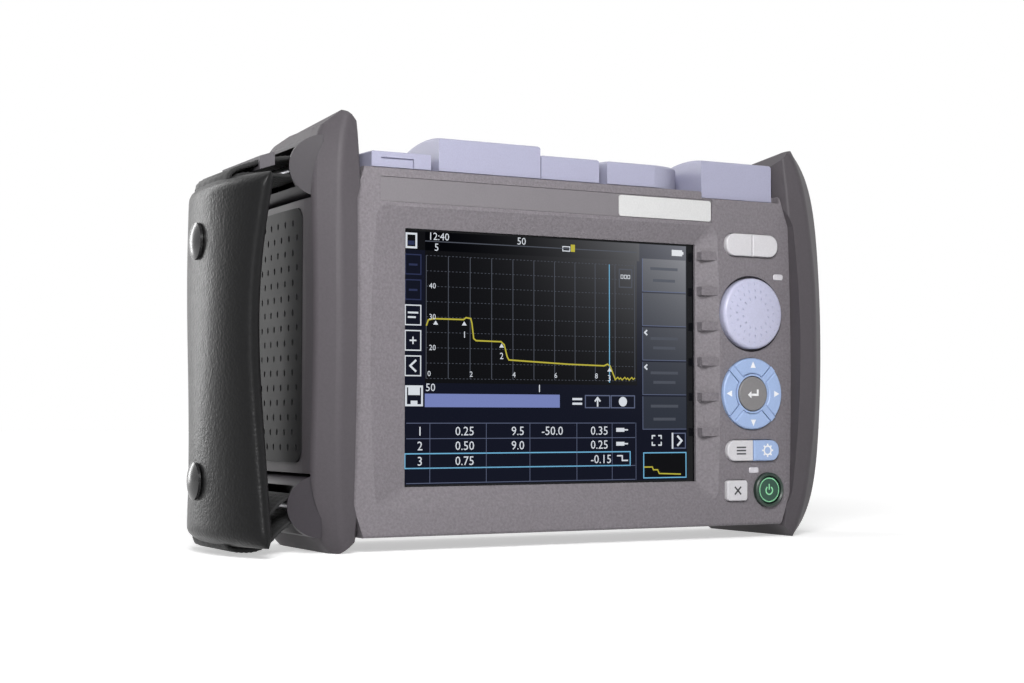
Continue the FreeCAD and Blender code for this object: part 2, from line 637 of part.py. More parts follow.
def make_bumper(label, side):
    """End bumper: a loft through bowed sections, taller than the case at both ends."""
    body = new_body(label)
    sections = []
    for place, station in enumerate(BUMPER_STATIONS):
        level = f"bumper_top * {(station + 1) / 2:.5f}"
        sketch = new_sketch(body, f"level_{place + 1}", "XY_Plane", level)
        draw_outline(sketch, bumper_section(side, station))
        sections.append(sketch)
    loft = body.newObject("PartDesign::AdditiveLoft", f"{label}_loft")
    loft.Profile = sections[0]
    loft.Sections = sections[1:]
    # the case stands between the bumpers
    prism(body, "case_room", "front", "ridge_back + 5", "ridge_front - 5", case_outline("-seat_gap"), cut=True)
    # leaning cuts at the foot and the head, and the head falling away to the back
    foot = [("0", "-2"), ("ridge_half - ridge_tuck + 2", "-2"), ("ridge_half - ridge_tuck + 0.5", "0"),
            ("case_corner + 1.2", "case_low"), ("0", "case_low")]
    tip = "ridge_half - ridge_tuck"
    head = [("0", "bumper_top - 7"), ("bumper_inner", "bumper_top - 7"), (f"{tip} - 1.5", "bumper_top - 0.9"),
            (f"{tip} + 0.5", "bumper_top - 0.5"), (f"{tip} + tip_blunt + 2", "bumper_top - tip_blunt - 1"),
            ("bumper_half + 2", "bumper_top - tip_blunt - 1"), ("bumper_half + 2", "bumper_top + 2"),
            ("0", "bumper_top + 2")]
    for name, corners in (("foot", foot), ("head", head)):
        prism(body, name, "front", "ridge_back + 5", "ridge_front - 5",
              corners if side > 0 else mirror_x(corners), cut=True)
    slope = [("ridge_front + 5", "bumper_top - tip_blunt"), ("ridge_front + 5 + tip_blunt", "bumper_top - 0.6"),
             ("strap_y + 21", "bumper_top - 7.5"),
             ("ridge_back + 2", "bumper_top - 20"), ("ridge_back + 2", "bumper_top + 2"),
             ("ridge_front + 5", "bumper_top + 2")]
    prism(body, "fall", "side", f"{side} * (bumper_inner - 6)", f"{side} * (bumper_half + 6)", slope, cut=True)
    return body


def make_left_bumper():
    body = make_bumper("left_bumper", -1)
    prism(body, "grip_seat", "side", "-(bumper_half + 6)", "-grip_seat",
          box("grip_front", "grip_back", "grip_low", "grip_high", "5"), cut=True)
    for name, z in (("upper", "upper_lug_z"), ("lower", "lower_lug_z")):
        prism(body, f"{name}_lug_seat", "side", "-(bumper_half + 6)", "-lug_seat",
              box(LUG_FRONT, LUG_BACK, f"{z} - lug_high / 2 - seat_gap", f"{z} + lug_high / 2 + seat_gap"),
              cut=True)


LUG_FRONT = "strap_y - strap_wide / 2 - cheek - 1.6"
LUG_BACK = "strap_y + strap_wide / 2 + cheek + 0.6"
BAR_FRONT = "strap_y - strap_wide / 2 - bar_seat"
BAR_BACK = "strap_y + strap_wide / 2 + bar_seat"


def make_left_grip():
    """Convex side panel with rows of small dimples, every other row set over by half a step."""
    body = new_body("left_grip")
    front, back = "grip_front + seat_gap", "grip_back - seat_gap"
    prism(body, "plate", "top", "grip_low + seat_gap", "grip_high - seat_gap", [
        ("-(grip_seat + seat_gap)", front), ("-grip_edge", front),
        ("via", "-grip_crown", "(grip_front + grip_back) / 2"),
        ("-grip_edge", back), ("-(grip_seat + seat_gap)", back),
    ])
    soften(body, "5", lambda edge: runs_along(edge, "X"), "end")
    rows = int(value("(grip_high - grip_low - 10) / dimple_pitch / 2"))
    columns = int(value("(grip_back - grip_front - 8) / dimple_step"))
    for name, shift, lift, count in (("even", "0", "0", columns + 1),
                                     ("odd", "dimple_step / 2", "dimple_pitch", columns)):
        across = f"(grip_front + grip_back) / 2 - dimple_step * {columns / 2} + {shift}"
        up = f"(grip_low + grip_high) / 2 - dimple_pitch * {rows + 0.5} + {lift}"
        dimple = prism(body, f"{name}_dimple", "side", "-(grip_crown + 1)", "-(grip_edge - dimple_deep)",
                       six_sided(across, up, "dimple_radius"), cut=True)
        grid_of(body, dimple, f"{name}_rows", ("V_Axis", "dimple_pitch * 2", rows + 1),
                ("H_Axis", "dimple_step", count))


def six_sided(across, up, radius):
    """A small six-sided hollow, taller than it is wide."""
    points = []
    for step in range(6):
        angle = math.radians(90 + 60 * step)
        points.append((f"{across} + {radius} * {0.8 * math.cos(angle):.4f}",
                       f"{up} + {radius} * {1.25 * math.sin(angle):.4f}"))
    return points


def grid_of(body, feature, name, *runs):
    """Repeat a feature along the axes of its sketch; a run is (axis, pitch, count)."""
    doc.recompute()
    grid = body.newObject("PartDesign::MultiTransform", f"{body.Label}_{name}")
    grid.Originals = [feature]
    steps = []
    for axis, pitch, count in runs:
        step = body.newObject("PartDesign::LinearPattern", f"{grid.Name}_{axis}")
        step.Direction = (feature.Profile[0], [axis])
        step.Occurrences = count
        step.setExpression("Length", bound(f"({pitch}) * {count - 1}"))
        steps.append(step)
    grid.Transformations = steps
    body.Tip = grid
    doc.recompute()


def make_lug(label, z, upright):
    """Strap lug: half-round hood with two cheeks, open outwards where the webbing leaves."""
    body = new_body(label)
    base, out = "-(lug_seat + seat_gap)", "-lug_out"
    sign = 1 if upright else -1
    level = lambda share: f"{z} + lug_high * {sign * share}"
    shoulder = "-(lug_seat + 1.5)"
    outline = [(base, level(0.5)), (shoulder, level(0.5)), ("via", out, level(0.03)),
               (shoulder, level(-0.48)), (base, level(-0.5))]
    start, end = f"{LUG_BACK} - seat_gap", f"{LUG_FRONT} + seat_gap"
    prism(body, "hood", "front", start, end, outline)
    # the front cheek leans back as it stands out from the bumper
    prism(body, "lean", "top", f"{z} - lug_high", f"{z} + lug_high", [
        ("-(lug_seat - 1)", f"{end} - 2"), (base, end), (out, f"{end} + 5"),
        ("-(lug_out + 2)", f"{end} + 6"), ("-(lug_out + 2)", f"{end} - 2"),
    ], cut=True)
    half = "(strap_wide / 2 + 0.3)"
    prism(body, "strap_room", "front", f"strap_y + {half}", f"strap_y - {half}",
          box("-(lug_out + 2)", "-(lug_seat + 0.9)", f"{z} - lug_high / 2 + 3.9", f"{z} + lug_high / 2 - 3.9"),
          cut=True)
    if not upright:
        # the webbing leaves the lower lug downwards
        prism(body, "mouth", "front", f"strap_y + {half}", f"strap_y - {half}",
              box("-(lug_out + 2)", "-(bar_out - 1)", f"{z} - lug_high", z), cut=True)
    rod(body, "bar_hole", "front", BAR_BACK, BAR_FRONT, ("-bar_out", z), "bar_radius", cut=True)


def make_strap_bars():
    """Steel bars that the webbing loops round, pressed into the cheeks of the lugs."""
    body = new_body("strap_bars")
    for name, z in (("upper", "upper_lug_z"), ("lower", "lower_lug_z")):
        rod(body, name, "front", BAR_BACK, BAR_FRONT, ("-bar_out", z), "bar_radius")


# ---------------------------------------------------------------------------
# Hand strap
# ---------------------------------------------------------------------------
def make_strap_webbing():
    """Woven strap: a straight stretch in the pad and a loop round each bar."""
    body = new_body("strap_webbing")
    outer, inner = "-(pad_layer + strap_thick / 2)", "-(pad_layer - strap_thick / 2)"
    eye = "-(bar_out - bar_radius - 0.25)"
    right = f"{eye} + strap_thick"
    reach = "(bar_radius + 0.3)"
    back, front = "strap_y + strap_wide / 2", "strap_y - strap_wide / 2"
    prism(body, "band", "front", back, front, [
        (outer, "pad_low - 2.3", "2"), ("-(bar_out + 12)", "0.5", "6"),
        (right, f"lower_lug_z - {reach} - strap_thick", "3.4"),
        (right, f"lower_lug_z + {reach} + strap_thick", "3.4"),
        ("-(bar_out + 6)", f"lower_lug_z + {reach} + strap_thick - 0.3", "4"),
        ("-(pad_layer - 6)", "pad_low - 0.5", "1"), (inner, "pad_low - 0.5"),
        (inner, "pad_high + 0.5"), (right, f"upper_lug_z - {reach} - strap_thick", "3.4"),
        (right, f"upper_lug_z + {reach} + strap_thick", "3.4"),
        ("-(bar_out + 6)", f"upper_lug_z + {reach} + strap_thick + 0.6", "6"), (outer, "pad_high + 2.4", "2"),
    ])
    prism(body, "upper_eye", "front", back, front, [
        ("-(pad_layer - 4.5)", "pad_high + 2.3"), (eye, f"upper_lug_z - {reach}", "1.8"),
        (eye, f"upper_lug_z + {reach}", "1.8"), ("-(bar_out + 6)", f"upper_lug_z + {reach} + 0.4", "5"),
    ], cut=True)
    prism(body, "lower_eye", "front", back, front, [
        ("-(pad_layer - 8.5)", "pad_low - 1"), ("-(bar_out + 11.8)", "0.6 + strap_thick", "3"),
        (eye, f"lower_lug_z - {reach}", "1.8"), (eye, f"lower_lug_z + {reach}", "1.8"),
        ("-(bar_out + 5.3)", f"lower_lug_z + {reach} - 0.7", "3"),
    ], cut=True)
    rivet_holes(body)


def rivet_holes(body):
    """Holes for the two rivets through the strap."""
    for name, z in (("upper", "upper_rivet_z"), ("lower", "lower_rivet_z")):
        rod(body, f"{name}_rivet_hole", "side", "-(pad_out + 2)", "-(pad_out - pad_thick - 2)",
            ("strap_y", z), "rivet_shank + seat_gap", cut=True)


def make_strap_pad():
    """Padded sleeve, bent round the back of the hand, with a slot for the webbing."""
    body = new_body("strap_pad")
    swing = math.radians(27)
    spot = lambda radius, angle: (f"pad_bend - pad_out - ({radius}) * {math.cos(angle):.5f}",
                                  f"pad_y + ({radius}) * {math.sin(angle):.5f}")
    inside = "pad_bend - pad_thick"
    prism(body, "sleeve", "top", "pad_low", "pad_high", [
        spot("pad_bend", -swing), spot(inside, -swing), ("via",) + spot(inside, 0),
        spot(inside, swing), spot("pad_bend", swing), ("via",) + spot("pad_bend", 0),
    ])
    soften(body, "3.5", lambda edge: runs_along(edge, "Z"), "side")
    half = "(strap_wide / 2 + 0.3)"
    gap = "(strap_thick / 2 + 0.3)"
    prism(body, "slot", "top", "pad_low - 1", "pad_high + 1",
          box(f"-pad_layer - {gap}", f"-pad_layer + {gap}", f"strap_y - {half}", f"strap_y + {half}"), cut=True)
    rivet_holes(body)


def turned(body, name, role, at, shift, profile):
    """A profile of (along, out) points turned round the sketch's own horizontal axis."""
    sketch = new_sketch(body, name, role, at, shift)
    draw_outline(sketch, profile)
    feature = body.newObject("PartDesign::Revolution", sketch.Name + "_turn")
    feature.Profile = sketch
    feature.ReferenceAxis = (sketch, ["H_Axis"])
    feature.Angle = 360
    sketch.Visibility = False


def make_strap_rivets():
    """Domed rivets that hold the pad on the webbing."""
    body = new_body("strap_rivets")
    face = "-(pad_out + seat_gap)"
    back = "-(pad_out - pad_thick - 0.3)"
    cap = "rivet_radius - 1.4"
    for name, z in (("upper", "upper_rivet_z"), ("lower", "lower_rivet_z")):
        turned(body, name, "XZ_Plane", "strap_y", ("0", z), [
            (f"{face} - rivet_rise", "0"), ("via", f"{face} - rivet_rise * 0.85", "rivet_radius * 0.55"),
            (f"{face} - rivet_rise * 0.4", "rivet_radius"), (face, "rivet_radius"), (face, "rivet_shank"),
            (back, "rivet_shank"), (back, cap), (f"{back} + 1", cap), (f"{back} + 1", "0"),
        ])


def make_strap_keeper():
    """Plastic slide on the webbing between the pad and the upper lug."""
    body = new_body("strap_keeper")
    middle = "-(bar_out + 13)"
    level = "upper_lug_z + 1.25"

    def leaning(half, tall):
        rise = 0.34 * half
        return [(f"{middle} - {half}", f"{level} - {rise + tall}"), (f"{middle} + {half}", f"{level} + {rise - tall}"),
                (f"{middle} + {half}", f"{level} + {rise + tall}"), (f"{middle} - {half}", f"{level} - {rise - tall}")]

    side = "strap_y + {0} * (strap_wide / 2 + {1})"
    prism(body, "slide", "front", side.format(1, 1.8), side.format(-1, 1.8), leaning(2.6, 2.2))
    prism(body, "slot", "front", side.format(1, 0.3), side.format(-1, 0.3), leaning(5.0, 1.15), cut=True)


# ---------------------------------------------------------------------------
# Screen, name strip, circuit boards and inner units
# ---------------------------------------------------------------------------
GLASS_BACK = f"{GLASS_FRONT} + glass_thick"
BOARD_FACE = f"{GLASS_FRONT} + mat_thick"
BOARD_BACK = f"{BOARD_FACE} + board_thick"
INNER_BACK = "case_back - case_wall"


def make_screen():
    """Touch glass behind the window lip, with the display module on its back."""
    lapped = box(f"{WINDOW_LEFT} - glass_lap", f"{WINDOW_RIGHT} + glass_lap",
                 f"{WINDOW_LOW} - glass_lap", f"{WINDOW_HIGH} + glass_lap")
    prism(new_body("display_glass"), "sheet", "front", GLASS_BACK, GLASS_FRONT, lapped)
    module = box(f"{WINDOW_LEFT} - 0.8", f"{WINDOW_RIGHT} + 0.8", f"{WINDOW_LOW} - 0.8", f"{WINDOW_HIGH} + 0.8")
    prism(new_body("lcd_module"), "frame", "front", f"{GLASS_BACK} + lcd_thick", GLASS_BACK, module)


def make_name_strip():
    """Bare name plate and blank label in the recess above the screen."""
    floor = "panel_front + strip_deep"
    face = f"{floor} - plate_thick"
    low, high = "strip_low + seat_gap", "strip_high - seat_gap"
    prism(new_body("name_plate"), "sheet", "front", floor, face,
          box("strip_left + seat_gap", "strip_right - seat_gap", low, high))
    prism(new_body("blank_label"), "sheet", "front", face, f"{face} - label_thick",
          box("label_left", "strip_right - 0.5", f"{low} + 0.2", f"{high} - 0.4", "1"))


def make_boards():
    """Key mat and key board behind the panel; main board on its spacers."""
    face = box("keys_x - pair_wide / 2 - 1.4", "case_corner - case_wall", "case_low + 4.5", "upper_pair_z + 6")
    for label, back, front in (("keypad_mat", BOARD_FACE, GLASS_FRONT), ("keypad_board", BOARD_BACK, BOARD_FACE)):
        body = new_body(label)
        prism(body, "sheet", "front", back, front, face)
        rod(body, "bush_hole", "front", back, front, ("keys_x", "knob_z"), "bush_radius + 0.3", cut=True)
        rod(body, "post_hole", "front", back, front, SCREWS[1], "screw_shank + 2.2", cut=True)
    main = new_body("main_board")
    prism(main, "sheet", "front", "case_split + 7", "case_split + 7 - board_thick",
          box("-76", "76", "bay_low - 2", "case_top - 26"))
    for place, (x, z) in enumerate((("-62", "bay_high + 8"), ("62", "bay_high + 8"),
                                    ("-62", "bay_high + 20"), ("62", "bay_high + 20"))):
        rod(main, f"spacer_{place + 1}", "front", INNER_BACK, "case_split + 7", (x, z), "2.6")


def make_inner_units():
    """Optical module, speaker and battery pack."""
    module = new_body("otdr_module")
    prism(module, "box", "front", INNER_BACK, "case_split + 7.2", box("-58", "-8", "bay_high + 6", "case_top - 24"))
    speaker = new_body("speaker")
    rod(speaker, "basket", "front", INNER_BACK, f"{INNER_BACK} - 4", ("high_screw_x - 27", "case_top - 13"), "7.5")
    pack = new_body("battery_pack")
    prism(pack, "cells", "front", "case_back - door_thick - 0.3", "bay_floor + 0.3",
          box("bay_left + cell_gap", "bay_right - cell_gap", "bay_low + cell_gap", "bay_high - cell_gap", "3"))


# ---------------------------------------------------------------------------
# Keys, knob and lamps
# ---------------------------------------------------------------------------
KEY_FACE = "panel_front - key_proud"
RING_FACE = "panel_front - key_proud + 0.2"
POWER_FACE = "panel_front - key_proud + 0.5"
COLLAR_FACE = "panel_front - key_proud - 0.4"
SKIN = "panel_front + key_skin"
FLANGE_BACK = "panel_front + key_skin + key_flange"


def esc_box(grow):
    half, tall = f"(esc_wide / 2 + {grow})", f"(esc_high / 2 + {grow})"
    return box(f"esc_x - {half}", f"esc_x + {half}", f"esc_z - {tall}", f"esc_z + {tall}", f"1.3 + {grow} / 2")


def half_pair(z, high, side, grow):
    """One key of a pair: rounded at its outer end and straight at the split."""
    reach = f"(pair_wide / 2 + {grow})"
    tall = f"({high} / 2 + {grow})"
    bend = f"{tall} * 0.94"
    outer, split = f"keys_x + ({side}) * {reach}", f"keys_x + ({side}) * key_split / 2"
    corners = [(outer, f"{z} - {tall}", bend), (split, f"{z} - {tall}"),
               (split, f"{z} + {tall}"), (outer, f"{z} + {tall}", bend)]
    return corners if side < 0 else corners[::-1]


def front_edge(face):
    return lambda edge: on_plane(edge, "Y", face)


def make_pair_keys():
    """Real time and average keys above, menu and setup keys below."""
    rows = (("upper_pair_z", "upper_pair_high", ("real_time_key", "average_key")),
            ("lower_pair_z", "lower_pair_high", ("menu_key", "setup_key")))
    for z, high, names in rows:
        for side, name in zip((-1, 1), names):
            body = new_body(name)
            prism(body, "cap", "front", SKIN, KEY_FACE, half_pair(z, high, side, "0"))
            soften(body, "0.5", front_edge(KEY_FACE))
            prism(body, "flange", "front", FLANGE_BACK, SKIN, half_pair(z, high, side, "flange_lap"))


def around(radius, degrees, across="0"):
    """A point of the arrow ring, moved sideways by an amount."""
    angle = math.radians(degrees)
    cosine, sine = math.cos(angle), math.sin(angle)
    return (f"keys_x + ({radius}) * {cosine:.5f} - ({across}) * {sine:.5f}",
            f"ring_z + ({radius}) * {sine:.5f} + ({across}) * {cosine:.5f}")


def ring_sector(inner, outer, middle):
    """A sector between two radii whose straight sides keep an even gap to the webs."""
    gap = value("web_half + key_gap")
    near_half = 45 - math.degrees(math.asin(gap / value(inner)))
    far_half = 45 - math.degrees(math.asin(gap / value(outer)))
    return [around(inner, middle - near_half), around(outer, middle - far_half), ("via",) + around(outer, middle),
            around(outer, middle + far_half), around(inner, middle + near_half), ("via",) + around(inner, middle)]


def make_arrow_keys():
    """Four arrow keys round the enter key, parted by diagonal webs."""
    for name, middle in (("right_key", 0), ("up_key", 90), ("left_key", 180), ("down_key", 270)):
        body = new_body(name)
        prism(body, "cap", "front", SKIN, RING_FACE, ring_sector("ring_inner", "ring_outer", middle))
        soften(body, "0.4", front_edge(RING_FACE), "bevel", "Chamfer")
        prism(body, "flange", "front", FLANGE_BACK, SKIN,
              ring_sector("ring_inner", "ring_outer + flange_lap", middle))
    web = new_body("ring_web")
    back = f"{SKIN} - 0.4"
    rod(web, "hub", "front", back, POWER_FACE, ("keys_x", "ring_z"), "ring_inner - 0.25", hole="enter_radius + 0.3")
    for middle in (45, 135, 225, 315):
        start, end = "ring_inner - 0.6", "ring_outer + 0.15"
        prism(web, f"bar_{middle}", "front", back, POWER_FACE,
              [around(start, middle, "-web_half"), around(end, middle, "-web_half"),
               around(end, middle, "web_half"), around(start, middle, "web_half")])


def make_round_keys():
    """Enter, escape and power keys, and the collar around the power key."""
    enter = new_body("enter_key")
    rod(enter, "cap", "front", SKIN, KEY_FACE, ("keys_x", "ring_z"), "enter_radius")
    soften(enter, "0.5", front_edge(KEY_FACE))
    rod(enter, "flange", "front", FLANGE_BACK, SKIN, ("keys_x", "ring_z"), "enter_radius + flange_lap")
    escape = new_body("esc_key")
    prism(escape, "cap", "front", SKIN, KEY_FACE, esc_box("0"))
    soften(escape, "0.5", front_edge(KEY_FACE))
    prism(escape, "flange", "front", FLANGE_BACK, SKIN, esc_box("flange_lap"))
    power = new_body("power_key")
    rod(power, "cap", "front", FLANGE_BACK, POWER_FACE, ("power_x", "esc_z"), "power_radius")
    soften(power, "0.5", front_edge(POWER_FACE))
    collar = new_body("power_collar")
    rod(collar, "ring", "front", GLASS_FRONT, COLLAR_FACE, ("power_x", "esc_z"), "collar_radius",
        hole="power_radius + key_gap")
    soften(collar, "0.5", front_edge(COLLAR_FACE), "bevel", "Chamfer")


def make_lamps():
    """Lenses of the laser lamp and the charge lamp."""
    body = new_body("status_lamps")
    for name, x, z in led_spots():
        prism(body, name, "front", GLASS_FRONT, "panel_front - 0.3", led_box(x, z, "0"))
    soften(body, "0.25", front_edge("panel_front - 0.3"), "bevel", "Chamfer")


SHAFT_END = f"{BOARD_BACK} + encoder_deep - push_travel - 3.4"
KNOB_SOCKET = "knob_crown + 1.8"
KNOB_DIMPLES = ((0.44, 14), (0.64, 20), (0.84, 26))


def make_knob():
    """Domed rotary knob with rings of dimples."""
    body = new_body("knob")
    lip = "knob_crown + 1.9"
    roof = f"{lip} + 0.9"
    turned(body, "dome", "YZ_Plane", "keys_x", ("0", "knob_z"), [
        ("knob_crown", "0"), ("via", "knob_crown + 0.35", "knob_radius * 0.5"),
        ("knob_crown + 1.2", "knob_radius * 0.93"), ("via", f"{lip} - 0.2", "knob_radius * 0.98"),
        (f"{lip} + 0.6", "knob_radius"), ("knob_skirt", "knob_radius"),
        ("knob_skirt", "knob_radius - 1.6"), (roof, "knob_radius - 1.6"),
        (roof, "shaft_radius + 1.8"), ("knob_skirt", "shaft_radius + 1.8"), ("knob_skirt", "0"),
    ])
    rod(body, "shaft_bore", "front", "knob_skirt", KNOB_SOCKET, ("keys_x", "knob_z"), "shaft_radius", cut=True)
    for place, (share, count) in enumerate(KNOB_DIMPLES):
        spot = ("keys_x", f"knob_z + knob_radius * {share}")
        corners = [("keys_x - 0.42", spot[1]), ("keys_x", f"{spot[1]} - 0.62"),
                   ("keys_x + 0.42", spot[1]), ("keys_x", f"{spot[1]} + 0.62")]
        dimple = prism(body, f"dimple_{place + 1}", "front", "knob_crown - 1",
                       f"knob_crown + 0.4 + {1.1 * share ** 2:.3f}", corners, cut=True)
        ring_of(body, dimple, f"dimples_{place + 1}", count)


def ring_of(body, feature, name, count):
    """Repeat a feature round the knob's axis."""
    centre = new_sketch(body, f"{name}_axis", "XZ_Plane", "0", ("keys_x", "knob_z"))
    doc.recompute()
    pattern = body.newObject("PartDesign::PolarPattern", f"{body.Label}_{name}")
    pattern.Originals = [feature]
    pattern.Axis = (centre, ["N_Axis"])
    pattern.Angle = 360
    pattern.Occurrences = count
    body.Tip = pattern
    doc.recompute()


def make_encoder():
    """Rotary encoder on the key board, with its shaft and the plunger of its push switch."""
    centre = ("keys_x", "knob_z")
    shaft = new_body("knob_shaft")
    rod(shaft, "shaft", "front", SHAFT_END, KNOB_SOCKET, centre, "shaft_radius")
    encoder = new_body("encoder")
    half = "encoder_side / 2"
    back = f"{BOARD_BACK} + encoder_deep"
    prism(encoder, "housing", "front", back, BOARD_BACK,
          box(f"keys_x - {half}", f"keys_x + {half}", f"knob_z - {half}", f"knob_z + {half}"))
    rod(encoder, "bush", "front", BOARD_BACK, "well_floor + 0.1", centre, "bush_radius")
    rod(encoder, "bore", "front", SHAFT_END, "well_floor", centre, "shaft_radius + shaft_play", cut=True)
    rod(encoder, "plunger_room", "front", f"{back} - 1", SHAFT_END, centre, "shaft_radius + 0.8", cut=True)
    plunger = new_body("encoder_plunger")
    rod(plunger, "disc", "front", f"{back} - 1 - push_travel - 0.2", SHAFT_END, centre, "shaft_radius + 0.4")


# ---------------------------------------------------------------------------
# Ports and their covers
# ---------------------------------------------------------------------------
ADAPTERS = [("otdr_adapter_1", -48.0), ("otdr_adapter_2", -27.0),
            ("source_adapter", -5.4), ("meter_adapter", 21.0)]
USB_PORT_X = -70.0
DC_PORT_X = 58.5
DATA_PORT_X = 71.5


def make_port_panel():
    """Plate in the top of the case that the sockets and adapters stand in."""
    panel = new_body("port_panel")
    low, high, gap = "case_top - case_wall", "case_top", "seat_gap"
    prism(panel, "plate", "top", low, high, box(f"-ports_half + {gap}", f"ports_half - {gap}",
                                                f"ports_front + {gap}", f"ports_back - {gap}"))
    for name, x in ADAPTERS:
        rod(panel, f"{name}_hole", "top", low, high, (f"{x}", "port_y"), "shank_radius + seat_gap", cut=True)
    for name, x, half, deep in (("usb", USB_PORT_X, "usb_half", "usb_deep"),
                                ("data", DATA_PORT_X, "data_half", "data_deep")):
        prism(panel, f"{name}_hole", "top", low, high, socket_box(x, half, deep, gap), cut=True)
    rod(panel, "dc_hole", "top", low, high, (f"{DC_PORT_X}", "port_y"), "jack_radius + seat_gap", cut=True)


def socket_box(x, half, deep, grow):
    """A socket seen from above."""
    return box(f"{x} - ({half} + ({grow}))", f"{x} + ({half} + ({grow}))",
               f"port_y - ({deep} + ({grow}))", f"port_y + ({deep} + ({grow}))")


def make_adapter(label, x):
    """Optical adapter: square flange, stepped barrel and the bore of its sleeve."""
    body = new_body(label)
    half = "adapter_flange / 2"
    prism(body, "flange", "top", "case_top", "case_top + flange_thick",
          box(f"{x} - {half}", f"{x} + {half}", f"port_y - {half}", f"port_y + {half}", "1.2"))
    rod(body, "barrel", "top", "case_top", "adapter_top", (x, "port_y"), "adapter_radius")
    rod(body, "shank", "top", "socket_low", "case_top", (x, "port_y"), "shank_radius")
    rod(body, "sleeve", "top", "adapter_top", "adapter_top - ferrule_depth", (x, "port_y"), "ferrule_bore", cut=True)


def make_socket(label, x, half, deep):
    """A metal socket shell with its contact tongue."""
    body = new_body(label)
    prism(body, "shell", "top", "socket_low", "case_top + 0.6", socket_box(x, half, deep, "0"))
    prism(body, "mouth", "top", "case_top + 1", "socket_low + 2", socket_box(x, half, deep, "-socket_wall"), cut=True)
    prism(body, "tongue", "top", "socket_low + 1", "case_top - 1.5",
          box(f"{x} - {half} + 1.8", f"{x} + {half} - 1.8", f"port_y + {deep} * 0.2", f"port_y + {deep} * 0.5"))


def make_power_inlet():
    """Round power inlet with its centre pin."""
    body = new_body("power_inlet")
    spot = (f"{DC_PORT_X}", "port_y")
    rod(body, "barrel", "top", "socket_low", "case_top + 0.6", spot, "jack_radius")
    rod(body, "bore", "top", "case_top + 1", "socket_low + 4", spot, "jack_bore", cut=True)
    rod(body, "pin", "top", "socket_low + 3", "case_top - 1", spot, "1")


def make_cover(label, left, right, crown):
    """Hinged port cover: a hollow cap whose back runs into the knuckle on the pin."""
    body = new_body(label)
    tail = "hinge_y - 4"
    under = "case_top + cover_gap"
    rear = f"min({crown}; {HINGE_Z} + 5)"
    middle = "cover_front * 0.5 - 1"
    bulge = f"({crown} - case_top) * 0.07"
    sides = (f"{left}", f"{right}")
    prism(body, "cap", "side", *sides, [
        ("cover_front", under), ("hinge_y", under), ("hinge_y", f"{HINGE_Z} + knuckle - 0.3"), (tail, rear),
        ("via", middle, f"{crown} + {bulge}"), ("cover_front", f"{crown}"),
    ])
    return body, tail, under, rear, middle, bulge


def finish_cover(body, left, right, inside, crown, tail, under, rear, middle, bulge):
    """Round the cap's outer edges, hollow it as far as inside, and give it its knuckle."""
    shallow = crown - value("case_top") < 7
    top = f"{crown}"
    high = value(under) + 3
    soften(body, "0.7" if shallow else "1", lambda edge: (edge.BoundBox.YLength > 15 and edge.BoundBox.ZMin > high)
           or (on_plane(edge, "Y", "cover_front") and edge.BoundBox.ZMin > crown - 0.5), "edges")
    wall = "cover_wall"
    prism(body, "hollow", "side", f"{left} + {wall}", f"{inside} - {wall}", [
        (f"cover_front + {wall}", f"{under} - 1"), (tail, f"{under} - 1"), (tail, f"{rear} - {wall} - 0.4"),
        ("via", middle, f"{top} + {bulge} - {wall}"), (f"cover_front + {wall}", f"{top} - {wall}"),
    ], cut=True)
    rod(body, "knuckle", "side", f"{left}", f"{right}", ("hinge_y", HINGE_Z), "knuckle")
    rod(body, "pin_bore", "side", f"{left}", f"{right}", ("hinge_y", HINGE_Z), "pin_radius + pin_play", cut=True)


def make_covers():
    """The five port covers along the top."""
    for label, left, right, crown in COVERS:
        body, *shape = make_cover(label, left, right, crown)
        inside = right
        if label == "meter_cover":
            # its right end curves back to leave finger room beside the power cover
            prism(body, "scoop", "top", "case_top", f"{crown} + 3", [
                (f"{right} - 20", "cover_front - 0.01"), ("via", f"{right} - 7", "cover_front + 6.5"),
                (f"{right} + 0.01", "cover_front + 22"), (f"{right} + 2", "cover_front + 22"),
                (f"{right} + 2", "cover_front - 2"), (f"{right} - 20", "cover_front - 2"),
            ], cut=True)
            inside = right - 16.5
        finish_cover(body, left, right, inside, crown, *shape)
        if label == "power_cover":
            prism(body, "apron", "front", "cover_front + cover_wall", "cover_front",
                  box(f"{left}", f"{right}", "case_top - 2.2", "case_top + 2"))
        if label == "usb_cover":
            slot_floor = "cover_front + 0.8"
            prism(body, "tab_slot", "front", slot_floor, "cover_front",
                  box(f"{left} + 3.5", f"{right} - 6.4", "case_top + 3", "case_top + 3.6"), cut=True)
            prism(body, "tab_end", "front", slot_floor, "cover_front",
                  box(f"{right} - 7", f"{right} - 6.4", "case_top + 0.4", "case_top + 3.6"), cut=True)


def make_cover_pin():
    """One long pin through the lugs and the knuckles of all covers."""
    body = new_body("cover_pin")
    rod(body, "pin", "side", "-(bumper_inner - 0.2)", "bumper_inner - 0.2", ("hinge_y", HINGE_Z), "pin_radius")


